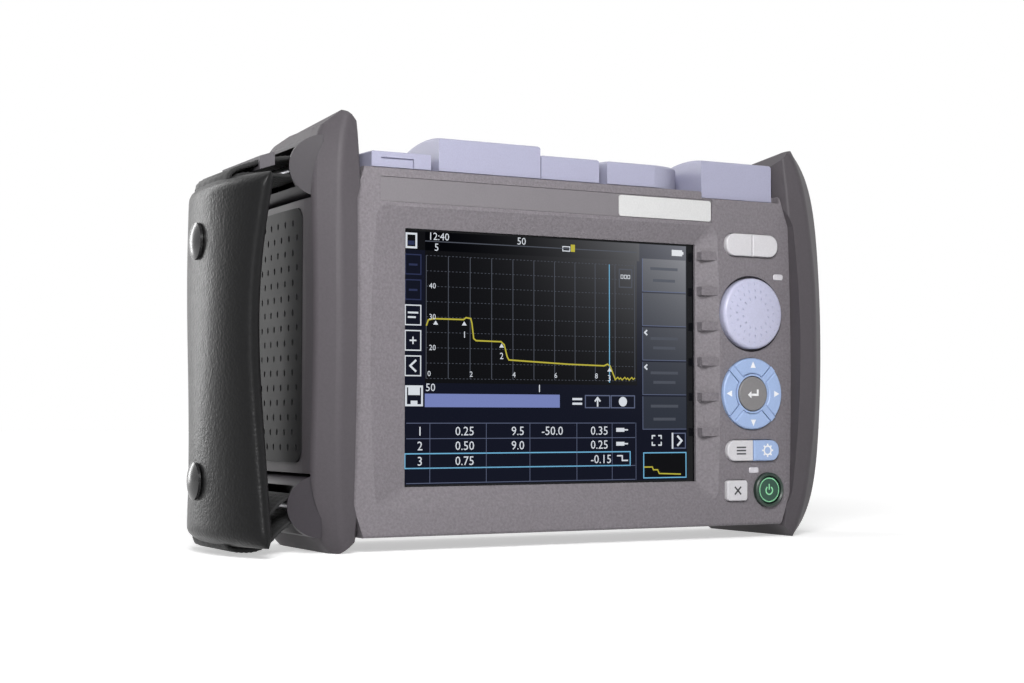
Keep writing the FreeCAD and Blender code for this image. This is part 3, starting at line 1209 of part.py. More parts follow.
# ---------------------------------------------------------------------------
# Back: battery door, tilt stand and screws
# ---------------------------------------------------------------------------
def make_battery_door():
    """Door over the battery bay with its captive screw."""
    body = new_body("battery_door")
    grip = "door_lap - door_gap"
    prism(body, "plate", "front", "case_back", "case_back - door_thick",
          box(f"bay_left - ({grip})", f"bay_right + ({grip})", f"bay_low - ({grip})", f"bay_high + ({grip})", "1"))
    rod(body, "ear", "front", "case_back", "case_back - door_thick", DOOR_SCREW, "door_ear")
    for place in range(4):
        level = f"bay_low + 4 + {2.4 * place}"
        prism(body, f"rib_{place + 1}", "front", "case_back + 0.5", "case_back",
              box("-14", "14", level, f"{level} + 1"))
    rod(body, "screw_sink", "front", "case_back", "case_back - 1.4", DOOR_SCREW, "screw_head + 0.3", cut=True)
    rod(body, "screw_way", "front", "case_back", "case_back - door_thick", DOOR_SCREW, "screw_shank + 0.2", cut=True)
    make_screw(new_body("door_screw"), "screw", DOOR_SCREW, "case_back - 1.4", "bay_floor + 9")


def make_screw(body, name, spot, seat, tip):
    """A screw from the back: head with a driver recess, and a shank."""
    rod(body, f"{name}_head", "front", f"{seat} + 1.3", seat, spot, "screw_head")
    rod(body, f"{name}_shank", "front", seat, tip, spot, "screw_shank")
    prism(body, f"{name}_recess", "front", f"{seat} + 1.3", f"{seat} + 0.3",
          six_sided(spot[0], spot[1], "screw_head * 0.5"), cut=True)


def make_case_screws():
    body = new_body("case_screws")
    for place, spot in enumerate(SCREWS):
        make_screw(body, f"screw_{place + 1}", spot, "case_back - screw_sink - 1", "case_split - 6.8")


def make_stand():
    """Tilt stand: two legs and a foot bar that fold flush into the back."""
    body = new_body("tilt_stand")
    front = "case_back - stand_thick"
    prism(body, "frame", "front", "case_back", front, stand_outline("0", "stand_pin_z"))
    pins = new_body("stand_pins")
    spot = ("case_back - stand_thick / 2", "stand_pin_z")
    for side, name in ((-1, "left"), (1, "right")):
        outer, inner = f"{side} * stand_outer", f"{side} * (stand_outer - stand_leg)"
        middle, end = f"{side} * (stand_outer - stand_leg / 2)", f"{side} * (stand_outer + 2)"
        rod(body, f"{name}_eye", "side", inner, outer, spot, "stand_thick / 2")
        rod(body, f"{name}_bore", "side", middle, outer, spot, "pin_radius + pin_play", cut=True)
        rod(pins, name, "side", middle, end, spot, "pin_radius")


# ---------------------------------------------------------------------------
# Build, check, place and write
# ---------------------------------------------------------------------------
def build():
    make_front_case()
    make_rear_case()
    make_left_bumper()
    make_bumper("right_bumper", 1)
    make_left_grip()
    make_lug("upper_strap_lug", "upper_lug_z", True)
    make_lug("lower_strap_lug", "lower_lug_z", False)
    make_strap_bars()
    make_strap_webbing()
    make_strap_pad()
    make_strap_rivets()
    make_strap_keeper()
    make_screen()
    make_name_strip()
    make_boards()
    make_inner_units()
    make_pair_keys()
    make_arrow_keys()
    make_round_keys()
    make_lamps()
    make_knob()
    make_encoder()
    make_port_panel()
    for label, x in ADAPTERS:
        make_adapter(label, f"{x}")
    make_socket("usb_socket", USB_PORT_X, "usb_half", "usb_deep")
    make_socket("data_socket", DATA_PORT_X, "data_half", "data_deep")
    make_power_inlet()
    make_covers()
    make_cover_pin()
    make_battery_door()
    make_case_screws()
    make_stand()


def check(body):
    """Stop the build when a feature failed or a solid is not sound."""
    for item in body.Group:
        if "Invalid" in item.State or "Error" in item.State:
            raise RuntimeError(f"{item.Name}: {item.State}")
    shape = body.Shape
    if shape.isNull() or not shape.isValid() or not shape.Solids:
        raise RuntimeError(f"{body.Label}: no sound solid")


def finish():
    """Stand the part on the origin, middle over middle, and write one file per sub-part."""
    whole = FreeCAD.BoundBox()
    for body in bodies:
        check(body)
        whole.add(body.Shape.optimalBoundingBox(False))
    move = Vector(-whole.Center.x, -whole.Center.y, 0)
    for body in bodies:
        body.Placement = FreeCAD.Placement(move, FreeCAD.Rotation())
    doc.recompute()
    for body in bodies:
        body.Shape.exportStep(f"parts/{body.Label}.step")
    print(f"{len(bodies)} sub-parts, moved by {move}, size {whole}")


build()
doc.recompute()
finish()
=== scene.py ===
"""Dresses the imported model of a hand-held optical time domain reflectometer and sets up its stage."""

import math

import bmesh
import bpy
from bpy.props import FloatProperty, FloatVectorProperty, PointerProperty
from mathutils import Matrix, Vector


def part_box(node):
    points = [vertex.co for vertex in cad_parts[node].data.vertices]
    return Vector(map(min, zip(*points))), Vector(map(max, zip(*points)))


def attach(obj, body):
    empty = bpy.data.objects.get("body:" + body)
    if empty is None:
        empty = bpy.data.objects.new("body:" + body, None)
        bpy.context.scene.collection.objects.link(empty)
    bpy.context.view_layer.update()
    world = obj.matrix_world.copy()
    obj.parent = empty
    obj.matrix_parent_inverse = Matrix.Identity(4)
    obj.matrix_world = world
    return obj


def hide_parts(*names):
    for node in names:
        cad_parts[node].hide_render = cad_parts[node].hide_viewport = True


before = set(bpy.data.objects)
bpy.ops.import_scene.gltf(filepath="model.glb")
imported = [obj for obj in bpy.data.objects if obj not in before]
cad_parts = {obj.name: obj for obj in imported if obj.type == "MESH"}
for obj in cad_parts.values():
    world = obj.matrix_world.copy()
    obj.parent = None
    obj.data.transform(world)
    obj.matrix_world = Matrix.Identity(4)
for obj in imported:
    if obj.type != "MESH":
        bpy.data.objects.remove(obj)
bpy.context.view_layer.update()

bl_info = {
    "name": "Reflectometer Dressing",
    "version": (1, 0, 0),
    "blender": (4, 5, 0),
    "location": "3D View > Sidebar > Reflectometer",
    "description": "Materials, screen, hand strap and studio for a hand-held reflectometer",
    "category": "Object",
}

MM = 0.001
# what the floor glows with where the camera sees it, so that it melts into the white room
NEAR_LIFT, FAR_LIFT = 0.5, 1.0


def tone(code):
    """A linear colour from an sRGB hex value."""
    parts = [int(code[place:place + 2], 16) / 255 for place in (1, 3, 5)]
    return [part / 12.92 if part <= 0.04045 else ((part + 0.055) / 1.055) ** 2.4 for part in parts]


# ---------------------------------------------------------------------------
# Properties
# ---------------------------------------------------------------------------
def colour(name, code, about):
    return FloatVectorProperty(name=name, description=about, subtype="COLOR", size=3, min=0, max=1,
                               default=tone(code))


def length(name, millimetres, about):
    return FloatProperty(name=name, description=about, unit="LENGTH", min=0, default=millimetres * MM)


class FinishColours(bpy.types.PropertyGroup):
    """Colours of the object's surfaces."""
    case: colour("Case", "#767176", "Moulded case halves")
    bumper: colour("Bumpers", "#504c50", "Elastomer bumpers and strap lugs")
    grip: colour("Side grip", "#1d1d1e", "Dimpled grip panel")
    cover: colour("Port covers", "#a2a2b8", "Hinged covers over the ports")
    knob: colour("Knob", "#bdbed6", "Rotary knob")
    white_key: colour("White keys", "#cfcdd1", "Real time, average, menu and escape keys")
    blue_key: colour("Blue keys", "#9fb5dc", "Arrow and setup keys")
    grey_key: colour("Enter key", "#7d7b7c", "Key in the middle of the arrow ring")
    power_green: colour("Power key", "#274a3c", "Translucent power key")
    pad: colour("Strap pad", "#0f0f10", "Vinyl of the strap pad")
    webbing: colour("Webbing", "#141415", "Nylon webbing of the strap")


class StrapSizes(bpy.types.PropertyGroup):
    """Sizes of the soft hand strap."""
    bend: length("Bend", 83.0, "Outer radius of the pad around the hand")
    pad_thick: length("Pad thickness", 9.5, "Thickness of the pad in the middle")
    web_wide: length("Webbing width", 34.0, "Width of the webbing")
    web_thick: length("Webbing thickness", 1.5, "Thickness of the webbing")
    rib_pitch: length("Rib pitch", 1.6, "Pitch of the woven ribs")


class StageSizes(bpy.types.PropertyGroup):
    """Where the camera stands, measured from the middle of the glass."""
    right: FloatProperty(name="Camera right", description="Camera to the right of the glass", unit="LENGTH",
                         default=-302.6 * MM)
    back: FloatProperty(name="Camera back", description="Camera behind the glass", unit="LENGTH",
                        default=-528.9 * MM)
    up: FloatProperty(name="Camera up", description="Camera above the middle of the glass", unit="LENGTH",
                      default=-21.35 * MM)
    turn: FloatProperty(name="Turn", description="Turn of the camera to the right", subtype="ANGLE",
                        default=math.radians(28.327))
    tilt: FloatProperty(name="Tilt", description="Tilt of the camera upwards", subtype="ANGLE",
                        default=math.radians(2.628))
    lens: FloatProperty(name="Lens", description="Focal length on a 36 mm sensor", default=60.37, min=10, max=300)


# ---------------------------------------------------------------------------
# Nodes and materials
# ---------------------------------------------------------------------------
def add(tree, kind, values=None, links=None, **settings):
    """Add a node with its settings, its unlinked values and its incoming links."""
    node = tree.nodes.new(kind)
    for name, setting in settings.items():
        setattr(node, name, setting)
    for name, number in (values or {}).items():
        node.inputs[name].default_value = number
    for name, source in (links or {}).items():
        tree.links.new(source, node.inputs[name])
    return node


def blank(name):
    """A new material and its emptied node tree."""
    material = bpy.data.materials.new(name)
    material.use_nodes = True
    material.node_tree.nodes.clear()
    return material, material.node_tree


def opaque(linear):
    return (*linear, 1.0)


def moulded(name, linear, roughness, grain=0.6, depth=0.02, cloud=0.06, coat=0.0, shine=0.5, speckle=0.25):
    """A moulded polymer. grain is the size of its texture in mm and depth how deep it is in mm; cloud is how
    far its colour drifts over the part; speckle is how strongly the texture shows in the colour."""
    material, tree = blank(name)
    place = add(tree, "ShaderNodeTexCoord").outputs["Object"]
    drift = add(tree, "ShaderNodeTexNoise", {"Scale": 1 / (38 * MM), "Detail": 3.0}, {"Vector": place})
    speck = add(tree, "ShaderNodeTexNoise", {"Scale": 1 / (grain * MM), "Detail": 2.0, "Roughness": 0.6},
                {"Vector": place})
    darker = [part * (1 - cloud) for part in linear]
    lighter = [min(1.0, part * (1 + cloud)) for part in linear]
    shade = add(tree, "ShaderNodeMix", {"A": opaque(darker), "B": opaque(lighter)}, data_type="RGBA")
    shade.inputs[6].default_value = opaque(darker)
    shade.inputs[7].default_value = opaque(lighter)
    tree.links.new(drift.outputs["Fac"], shade.inputs[0])
    fine = add(tree, "ShaderNodeMix", data_type="RGBA", blend_type="MULTIPLY")
    fine.inputs[0].default_value = speckle
    tree.links.new(shade.outputs[2], fine.inputs[6])
    level = add(tree, "ShaderNodeMapRange", {"From Min": 0.3, "From Max": 0.7, "To Min": 0.78, "To Max": 1.12},
                {"Value": speck.outputs["Fac"]})
    tree.links.new(level.outputs[0], fine.inputs[7])
    result = fine.outputs[2]
    gloss = add(tree, "ShaderNodeMapRange", {"To Min": roughness - 0.05, "To Max": roughness + 0.07},
                {"Value": drift.outputs["Fac"]})
    relief = add(tree, "ShaderNodeBump", {"Strength": 1.0, "Distance": depth * MM}, {"Height": speck.outputs["Fac"]})
    shader = add(tree, "ShaderNodeBsdfPrincipled", {"IOR": 1.5, "Specular IOR Level": shine, "Coat Weight": coat, "Coat Roughness": 0.15},
                 {"Base Color": result, "Roughness": gloss.outputs[0], "Normal": relief.outputs["Normal"]})
    add(tree, "ShaderNodeOutputMaterial", links={"Surface": shader.outputs[0]})
    return material


def plated(name, code, roughness, brushed=0.25):
    """Nickel-plated turned steel: fine turning lines break its reflections."""
    material, tree = blank(name)
    place = add(tree, "ShaderNodeTexCoord").outputs["Object"]
    lines = add(tree, "ShaderNodeTexNoise", {"Scale": 1 / (brushed * MM), "Detail": 2.0}, {"Vector": place})
    gloss = add(tree, "ShaderNodeMapRange", {"To Min": roughness - 0.06, "To Max": roughness + 0.1},
                {"Value": lines.outputs["Fac"]})
    relief = add(tree, "ShaderNodeBump", {"Distance": 0.006 * MM}, {"Height": lines.outputs["Fac"]})
    shader = add(tree, "ShaderNodeBsdfPrincipled", {"Base Color": opaque(tone(code)), "Metallic": 1.0},
                 {"Roughness": gloss.outputs[0], "Normal": relief.outputs["Normal"]})
    add(tree, "ShaderNodeOutputMaterial", links={"Surface": shader.outputs[0]})
    return material


def leathercloth(name, linear):
    """Embossed vinyl on foam: a fine leather grain of about 0.9 mm whose creases catch broken highlights."""
    material, tree = blank(name)
    place = add(tree, "ShaderNodeTexCoord").outputs["Object"]
    cells = add(tree, "ShaderNodeTexVoronoi", {"Scale": 1 / (0.95 * MM), "Randomness": 0.9}, {"Vector": place},
                feature="SMOOTH_F1")
    crease = add(tree, "ShaderNodeTexNoise", {"Scale": 1 / (3.2 * MM), "Detail": 4.0, "Distortion": 0.6},
                 {"Vector": place})
    height = add(tree, "ShaderNodeMath", links={0: cells.outputs["Distance"], 1: crease.outputs["Fac"]},
                 operation="ADD")
    relief = add(tree, "ShaderNodeBump", {"Strength": 0.8, "Distance": 0.12 * MM}, {"Height": height.outputs[0]})
    drift = add(tree, "ShaderNodeTexNoise", {"Scale": 1 / (22 * MM), "Detail": 3.0}, {"Vector": place})
    shade = add(tree, "ShaderNodeMix", data_type="RGBA")
    shade.inputs[6].default_value = opaque([part * 0.85 for part in linear])
    shade.inputs[7].default_value = opaque([part * 1.2 for part in linear])
    tree.links.new(drift.outputs["Fac"], shade.inputs[0])
    gloss = add(tree, "ShaderNodeMapRange", {"To Min": 0.3, "To Max": 0.44}, {"Value": crease.outputs["Fac"]})
    shader = add(tree, "ShaderNodeBsdfPrincipled", {"IOR": 1.5, "Specular IOR Level": 0.17},
                 {"Base Color": shade.outputs[2], "Roughness": gloss.outputs[0], "Normal": relief.outputs["Normal"]})
    add(tree, "ShaderNodeOutputMaterial", links={"Surface": shader.outputs[0]})
    return material


def woven(name, linear, pitch):
    """Grosgrain nylon webbing: ribs across its length with a soft sheen on their crowns."""
    material, tree = blank(name)
    place = add(tree, "ShaderNodeTexCoord").outputs["Object"]
    yarn = add(tree, "ShaderNodeTexWave", {"Scale": 1 / (0.9 * MM) / 20, "Distortion": 1.2, "Detail": 2.0},
               {"Vector": place}, wave_type="BANDS", bands_direction="Y")
    fuzz = add(tree, "ShaderNodeTexNoise", {"Scale": 1 / (0.35 * MM), "Detail": 3.0}, {"Vector": place})
    height = add(tree, "ShaderNodeMath", links={0: yarn.outputs["Fac"], 1: fuzz.outputs["Fac"]}, operation="ADD")
    relief = add(tree, "ShaderNodeBump", {"Strength": 0.7, "Distance": 0.12 * MM}, {"Height": height.outputs[0]})
    shade = add(tree, "ShaderNodeMix", data_type="RGBA")
    shade.inputs[6].default_value = opaque([part * 0.6 for part in linear])
    shade.inputs[7].default_value = opaque([part * 1.5 for part in linear])
    tree.links.new(fuzz.outputs["Fac"], shade.inputs[0])
    shader = add(tree, "ShaderNodeBsdfPrincipled", {"Roughness": 0.8, "Sheen Weight": 0.12, "Sheen Roughness": 0.4},
                 {"Base Color": shade.outputs[2], "Normal": relief.outputs["Normal"]})
    add(tree, "ShaderNodeOutputMaterial", links={"Surface": shader.outputs[0]})
    return material


def coated_glass(name):
    """Resistive touch glass with a smooth hard coat: near black, with soft clear reflections."""
    material, tree = blank(name)
    place = add(tree, "ShaderNodeTexCoord").outputs["Object"]
    smudge = add(tree, "ShaderNodeTexNoise", {"Scale": 1 / (18 * MM), "Detail": 4.0}, {"Vector": place})
    gloss = add(tree, "ShaderNodeMapRange", {"To Min": 0.08, "To Max": 0.16}, {"Value": smudge.outputs["Fac"]})
    shade = add(tree, "ShaderNodeMix", data_type="RGBA")
    shade.inputs[6].default_value = opaque(tone("#07080b"))
    shade.inputs[7].default_value = opaque(tone("#0c0d12"))
    tree.links.new(smudge.outputs["Fac"], shade.inputs[0])
    # the hard coat of a touch sensor carries an anti-reflection layer
    shader = add(tree, "ShaderNodeBsdfPrincipled", {"IOR": 1.5, "Specular IOR Level": 0.15},
                 {"Base Color": shade.outputs[2], "Roughness": gloss.outputs[0]})
    add(tree, "ShaderNodeOutputMaterial", links={"Surface": shader.outputs[0]})
    return material


def lit(name, code, strength, glow=None):
    """Light of the liquid crystal display seen through the glass, with a painted reflection: glow is the colour it
    fades to upwards and to the right, standing in for the lamps reflected in the glass there.
    """
    material, tree = blank(name)
    place = add(tree, "ShaderNodeTexCoord").outputs["Object"]
    dots = add(tree, "ShaderNodeTexNoise", {"Scale": 1 / (0.4 * MM)}, {"Vector": place})
    grain = add(tree, "ShaderNodeMapRange", {"To Min": 0.9, "To Max": 1.1}, {"Value": dots.outputs["Fac"]})
    shade = add(tree, "ShaderNodeMix", data_type="RGBA")
    shade.inputs[6].default_value = opaque(tone(code))
    shade.inputs[7].default_value = opaque(tone(glow or code))
    # painted reflection: towards the top right of the glass the colour fades to the glow colour, a reflection painted
    # into the display's light
    split = add(tree, "ShaderNodeSeparateXYZ", links={"Vector": place})
    low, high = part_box("display_glass")
    rise = add(tree, "ShaderNodeMapRange", {"From Min": low.z, "From Max": high.z}, {"Value": split.outputs["Z"]})
    aside = add(tree, "ShaderNodeMapRange", {"From Min": low.x, "From Max": high.x}, {"Value": split.outputs["X"]})
    both = add(tree, "ShaderNodeMath", links={0: rise.outputs[0], 1: aside.outputs[0]}, operation="MULTIPLY")
    painted_reflection_share = add(tree, "ShaderNodeMath", {1: 3.2}, {0: both.outputs[0]}, operation="POWER")
    tree.links.new(painted_reflection_share.outputs[0], shade.inputs[0])
    shader = add(tree, "ShaderNodeBsdfPrincipled",
                 {"IOR": 1.5, "Roughness": 0.1, "Specular IOR Level": 0.04, "Base Color": opaque(tone("#030304"))},
                 {"Emission Color": shade.outputs[2]})
    pulse = add(tree, "ShaderNodeMath", {1: strength}, {0: grain.outputs[0]}, operation="MULTIPLY")
    tree.links.new(pulse.outputs[0], shader.inputs["Emission Strength"])
    add(tree, "ShaderNodeOutputMaterial", links={"Surface": shader.outputs[0]})
    return material


# ---------------------------------------------------------------------------
# Mesh helpers
# ---------------------------------------------------------------------------
def dress(material, *names):
    """Give CAD nodes a material."""
    for name in names:
        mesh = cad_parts[name].data
        mesh.materials.clear()
        mesh.materials.append(material)


def solid(name, mesh, materials, body, smooth=False):
    """Put a finished bmesh into the scene as a piece that rides on a body."""
    data = bpy.data.meshes.new(name)
    bmesh.ops.recalc_face_normals(mesh, faces=mesh.faces)
    mesh.to_mesh(data)
    mesh.free()
    for material in materials:
        data.materials.append(material)
    if smooth:
        data.shade_smooth()
    piece = bpy.data.objects.new(name, data)
    bpy.context.collection.objects.link(piece)
    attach(piece, body)
    return piece


def plate(mesh, corners, front, back, index=0):
    """A flat plate in XZ with any outline; corners are (x, z) and front is nearer to -Y."""
    faces = []
    rows = [[mesh.verts.new((x, y, z)) for x, z in corners] for y in (front, back)]
    faces.append(mesh.faces.new(rows[0]))
    faces.append(mesh.faces.new(rows[1][::-1]))
    for place in range(len(corners)):
        after = (place + 1) % len(corners)
        faces.append(mesh.faces.new((rows[0][after], rows[0][place], rows[1][place], rows[1][after])))
    for face in faces:
        face.material_index = index


def middle(name):
    low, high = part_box(name)
    return (low + high) / 2


def ring_points(x, z, radius, count=40, start=0.0, sweep=2 * math.pi):
    steps = count if sweep > 6.28 else count - 1
    return [(x + radius * math.cos(start + sweep * step / steps),
             z + radius * math.sin(start + sweep * step / steps)) for step in range(count)]


def band(mesh, outer, inner, front, back, index=0, closed=True):
    """A flat band between two lines of equally many points."""
    count = len(outer) if closed else len(outer) - 1
    for place in range(count):
        after = (place + 1) % len(outer)
        plate(mesh, [outer[place], outer[after], inner[after], inner[place]], front, back, index)


# ---------------------------------------------------------------------------
# Operators: one for each group of pieces
# ---------------------------------------------------------------------------
class REFLECTOMETER_OT_case(bpy.types.Operator):
    """Finish the case halves, the name strip and what is on the back"""
    bl_idname = "reflectometer.case"
    bl_label = "Case"

    def execute(self, context):
        looks = context.scene.finish_colours
        # ABS moulded against a spark-eroded tool: an even fine grain that keeps highlights broad and dull
        case = moulded("ABS, moulded, spark-eroded texture, warm grey", looks.case, 0.6, grain=0.9, depth=0.22,
                       speckle=0.9)
        dress(case, "front_case", "rear_case", "battery_door")
        # the stand is glass-filled nylon, a little darker and rougher than the case
        stand = moulded("Glass-filled nylon, moulded, grey", tone("#575459"), 0.62, grain=0.9, depth=0.03)
        dress(stand, "tilt_stand", "strap_keeper")
        # a printed polyester film: smooth and slightly darker than the case around it
        film = moulded("Polyester film, printed, warm grey", tone("#767276"), 0.42, grain=0.5, depth=0.008, cloud=0.03)
        dress(film, "name_plate")
        # a plain white film label, a little glossy
        label = moulded("Polyester film, white", tone("#cfcfcf"), 0.38, grain=0.6, depth=0.004, cloud=0.02)
        dress(label, "blank_label")
        steel = plated("Steel, turned, nickel plated", "#b4b4b8", 0.32)
        dress(steel, "case_screws", "door_screw", "stand_pins", "cover_pin", "strap_bars", "knob_shaft")
        return {"FINISHED"}


class REFLECTOMETER_OT_bumpers(bpy.types.Operator):
    """Finish the end bumpers, the side grip and the strap lugs"""
    bl_idname = "reflectometer.bumpers"
    bl_label = "Bumpers"

    def execute(self, context):
        looks = context.scene.finish_colours
        # overmoulded elastomer: softer and smoother than the case, with wide satin highlights
        rubber = moulded("Thermoplastic elastomer, overmoulded, satin grey", looks.bumper, 0.5, grain=0.9,
                         depth=0.03, shine=0.2)
        dress(rubber, "left_bumper", "right_bumper")
        # the strap lugs take a darker copy of the bumpers' elastomer, and that extra darkness is painted shade
        lug = moulded("Thermoplastic elastomer, moulded, purple grey", tone("#332f34"), 0.4, grain=0.9, depth=0.012,
                      shine=0.25)
        dress(lug, "upper_strap_lug", "lower_strap_lug")
        grip = moulded("Silicone rubber, moulded, dark grey", looks.grip, 0.55, grain=0.8, depth=0.015, shine=0.12)
        dress(grip, "left_grip")
        return {"FINISHED"}


class REFLECTOMETER_OT_covers(bpy.types.Operator):
    """Finish the port covers and the ports under them"""
    bl_idname = "reflectometer.covers"
    bl_label = "Port covers"

    def execute(self, context):
        looks = context.scene.finish_colours
        # soft moulded PVC: very smooth and pale, with a faint bloom over it
        cover = moulded("Soft PVC, moulded, pale lavender", looks.cover, 0.44, grain=0.5, depth=0.006, cloud=0.03)
        dress(cover, "usb_cover", "otdr_cover", "source_cover", "meter_cover", "power_cover")
        adapter = moulded("Polybutylene terephthalate, moulded, blue", tone("#3c5f9e"), 0.35, grain=0.5, depth=0.004)
        dress(adapter, "otdr_adapter_1", "otdr_adapter_2", "source_adapter")
        green = moulded("Polybutylene terephthalate, moulded, grey", tone("#8a8c90"), 0.35, grain=0.5, depth=0.004)
        dress(green, "meter_adapter")
        dark = moulded("Polycarbonate, moulded, black", tone("#1d1d20"), 0.45, grain=0.6, depth=0.01)
        dress(dark, "port_panel", "power_inlet", "speaker", "encoder", "encoder_plunger", "battery_pack")
        shell = plated("Steel, stamped, nickel plated", "#a9a9ad", 0.28)
        dress(shell, "usb_socket", "data_socket", "lcd_module", "otdr_module")
        board = moulded("Epoxy laminate, lacquered, green", tone("#1f5a38"), 0.3, grain=1.2, depth=0.01, coat=0.4)
        dress(board, "main_board", "keypad_board")
        return {"FINISHED"}


class REFLECTOMETER_OT_keys(bpy.types.Operator):
    """Finish the keys and lamps and print the plain signs on the keys"""
    bl_idname = "reflectometer.keys"
    bl_label = "Keys"

    def execute(self, context):
        looks = context.scene.finish_colours
        # silicone rubber keys with a lacquered face: smooth, slightly glossy, no grain
        white = moulded("Silicone rubber, lacquered, white", looks.white_key, 0.4, grain=0.5, depth=0.004, cloud=0.02)
        dress(white, "real_time_key", "average_key", "menu_key", "esc_key")
        blue = moulded("Silicone rubber, lacquered, light blue", looks.blue_key, 0.4, grain=0.5, depth=0.004,
                       cloud=0.03)
        dress(blue, "right_key", "up_key", "left_key", "down_key", "ring_web", "setup_key")
        grey = moulded("Silicone rubber, lacquered, warm grey", looks.grey_key, 0.42, grain=0.5, depth=0.005)
        dress(grey, "enter_key")
        # the sheet that carries the keys is made near black as painted shade, so that the gaps round the keys read as
        # shadowed gaps
        gap_shade_sheet = moulded("Silicone rubber, moulded, black, painted gap shade", tone("#151516"), 0.6, grain=0.5, depth=0.005, shine=0.2)
        dress(gap_shade_sheet, "keypad_mat")
        # translucent key over a lamp: deep green with a coated face
        green = moulded("Polycarbonate, translucent, green", looks.power_green, 0.3, grain=0.8, depth=0.003,
                        coat=0.15, shine=0.3)
        dress(green, "power_key")
        collar = moulded("Polycarbonate, moulded, dark green", tone("#24352d"), 0.35, grain=0.8, depth=0.004)
        dress(collar, "power_collar")
        lens = moulded("Acrylic, moulded, milky", tone("#cfccd2"), 0.25, grain=0.8, depth=0.003, coat=0.4)
        dress(lens, "status_lamps")
        self.print_signs()
        return {"FINISHED"}

    def print_signs(self):
        """Plain printed signs, each a thin film of ink on its key."""
        pale = moulded("Printing ink, white", tone("#f2f2f4"), 0.45, grain=0.5, depth=0.003, cloud=0.01)
        dark = moulded("Printing ink, charcoal", tone("#3a3a3e"), 0.45, grain=0.5, depth=0.003, cloud=0.01)
        glow = moulded("Printing ink, light green", tone("#8fd9a6"), 0.4, grain=0.5, depth=0.003, cloud=0.01)
        tip, half = 1.5 * MM, 1.15 * MM
        for name, across, up in (("right_key", 1, 0), ("up_key", 0, 1), ("left_key", -1, 0), ("down_key", 0, -1)):
            low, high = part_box(name)
            hub = middle("enter_key")
            reach = 10.6 * MM
            x, z = hub.x + across * reach, hub.z + up * reach
            corners = [(x + across * tip, z + up * tip),
                       (x - up * half - across * tip * 0.6, z + across * half - up * tip * 0.6),
                       (x + up * half - across * tip * 0.6, z - across * half - up * tip * 0.6)]
            mesh = bmesh.new()
            plate(mesh, corners, low.y - 0.06 * MM, low.y + 0.1 * MM)
            solid(f"{name}_arrow", mesh, [pale], name)
        # a hooked arrow on the enter key
        low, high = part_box("enter_key")
        spot = middle("enter_key")
        mesh = bmesh.new()
        bar = 0.42 * MM
        shapes = (
            [(-1.2, -0.42), (2.3, -0.42), (2.3, 0.42), (-1.2, 0.42)],
            [(1.5, 0.3), (2.3, 0.3), (2.3, 2.0), (1.5, 2.0)],
            [(-2.6, 0.0), (-1.0, -1.3), (-1.0, 1.3)],
        )
        for shape in shapes:
            plate(mesh, [(spot.x + x * MM, spot.z + (z - 0.4) * MM) for x, z in shape],
                  low.y - 0.06 * MM, low.y + 0.1 * MM)
        solid("enter_key_sign", mesh, [pale], "enter_key")
        # three lines on the menu key, a ring on the setup key, a cross on the escape key
        low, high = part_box("menu_key")
        spot = middle("menu_key")
        mesh = bmesh.new()
        for rise in (-1.2, 0.0, 1.2):
            corners = [(-2.1, rise - 0.27), (2.1, rise - 0.27), (2.1, rise + 0.27), (-2.1, rise + 0.27)]
            plate(mesh, [(spot.x + (x + 0.6) * MM, spot.z + z * MM) for x, z in corners],
                  low.y - 0.06 * MM, low.y + 0.1 * MM)
        solid("menu_key_sign", mesh, [dark], "menu_key")
        low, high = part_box("setup_key")
        spot = middle("setup_key")
        mesh = bmesh.new()
        band(mesh, ring_points(spot.x, spot.z, 1.9 * MM, 28), ring_points(spot.x, spot.z, 1.3 * MM, 28),
             low.y - 0.06 * MM, low.y + 0.1 * MM)
        for turn in range(8):
            angle = turn * math.pi / 4
            along, side = Vector((math.cos(angle), math.sin(angle))), Vector((-math.sin(angle), math.cos(angle)))
            root, crown = along * 1.8 * MM, along * 2.5 * MM
            wide = side * 0.32 * MM
            corners = [(spot.x + p.x, spot.z + p.y) for p in (root - wide, crown - wide, crown + wide, root + wide)]
            plate(mesh, corners, low.y - 0.06 * MM, low.y + 0.1 * MM)
        solid("setup_key_sign", mesh, [pale], "setup_key")
        low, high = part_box("esc_key")
        spot = middle("esc_key")
        mesh = bmesh.new()
        for lean in (1, -1):
            along = Vector((1, lean)).normalized() * 2.0 * MM
            wide = Vector((-lean, 1)).normalized() * 0.3 * MM
            corners = [(spot.x + p.x, spot.z + p.y) for p in (-along - wide, along - wide, along + wide, -along + wide)]
            plate(mesh, corners, low.y - 0.06 * MM, low.y + 0.1 * MM)
        solid("esc_key_sign", mesh, [dark], "esc_key")
        # standby sign and ring on the power key
        low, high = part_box("power_key")
        spot = middle("power_key")
        mesh = bmesh.new()
        front, back = low.y - 0.06 * MM, low.y + 0.1 * MM
        start, sweep = math.radians(125), math.radians(290)
        band(mesh, ring_points(spot.x, spot.z - 0.2 * MM, 1.75 * MM, 26, start, sweep),
             ring_points(spot.x, spot.z - 0.2 * MM, 1.25 * MM, 26, start, sweep), front, back, closed=False)
        plate(mesh, [(spot.x - 0.25 * MM, spot.z), (spot.x + 0.25 * MM, spot.z),
                     (spot.x + 0.25 * MM, spot.z + 2.2 * MM), (spot.x - 0.25 * MM, spot.z + 2.2 * MM)], front, back)
        band(mesh, ring_points(spot.x, spot.z, 4.55 * MM, 44), ring_points(spot.x, spot.z, 4.2 * MM, 44), front, back)
        solid("power_key_sign", mesh, [glow], "power_key")


class REFLECTOMETER_OT_knob(bpy.types.Operator):
    """Finish the rotary knob"""
    bl_idname = "reflectometer.knob"
    bl_label = "Knob"

    def execute(self, context):
        looks = context.scene.finish_colours
        # acetal with a pearl lacquer: a soft clear coat gives it a bright, rounded highlight
        pearl = moulded("Acetal, moulded, pearl lacquer", looks.knob, 0.34, grain=0.8, depth=0.004, cloud=0.03,
                        coat=0.35)
        dress(pearl, "knob")
        return {"FINISHED"}


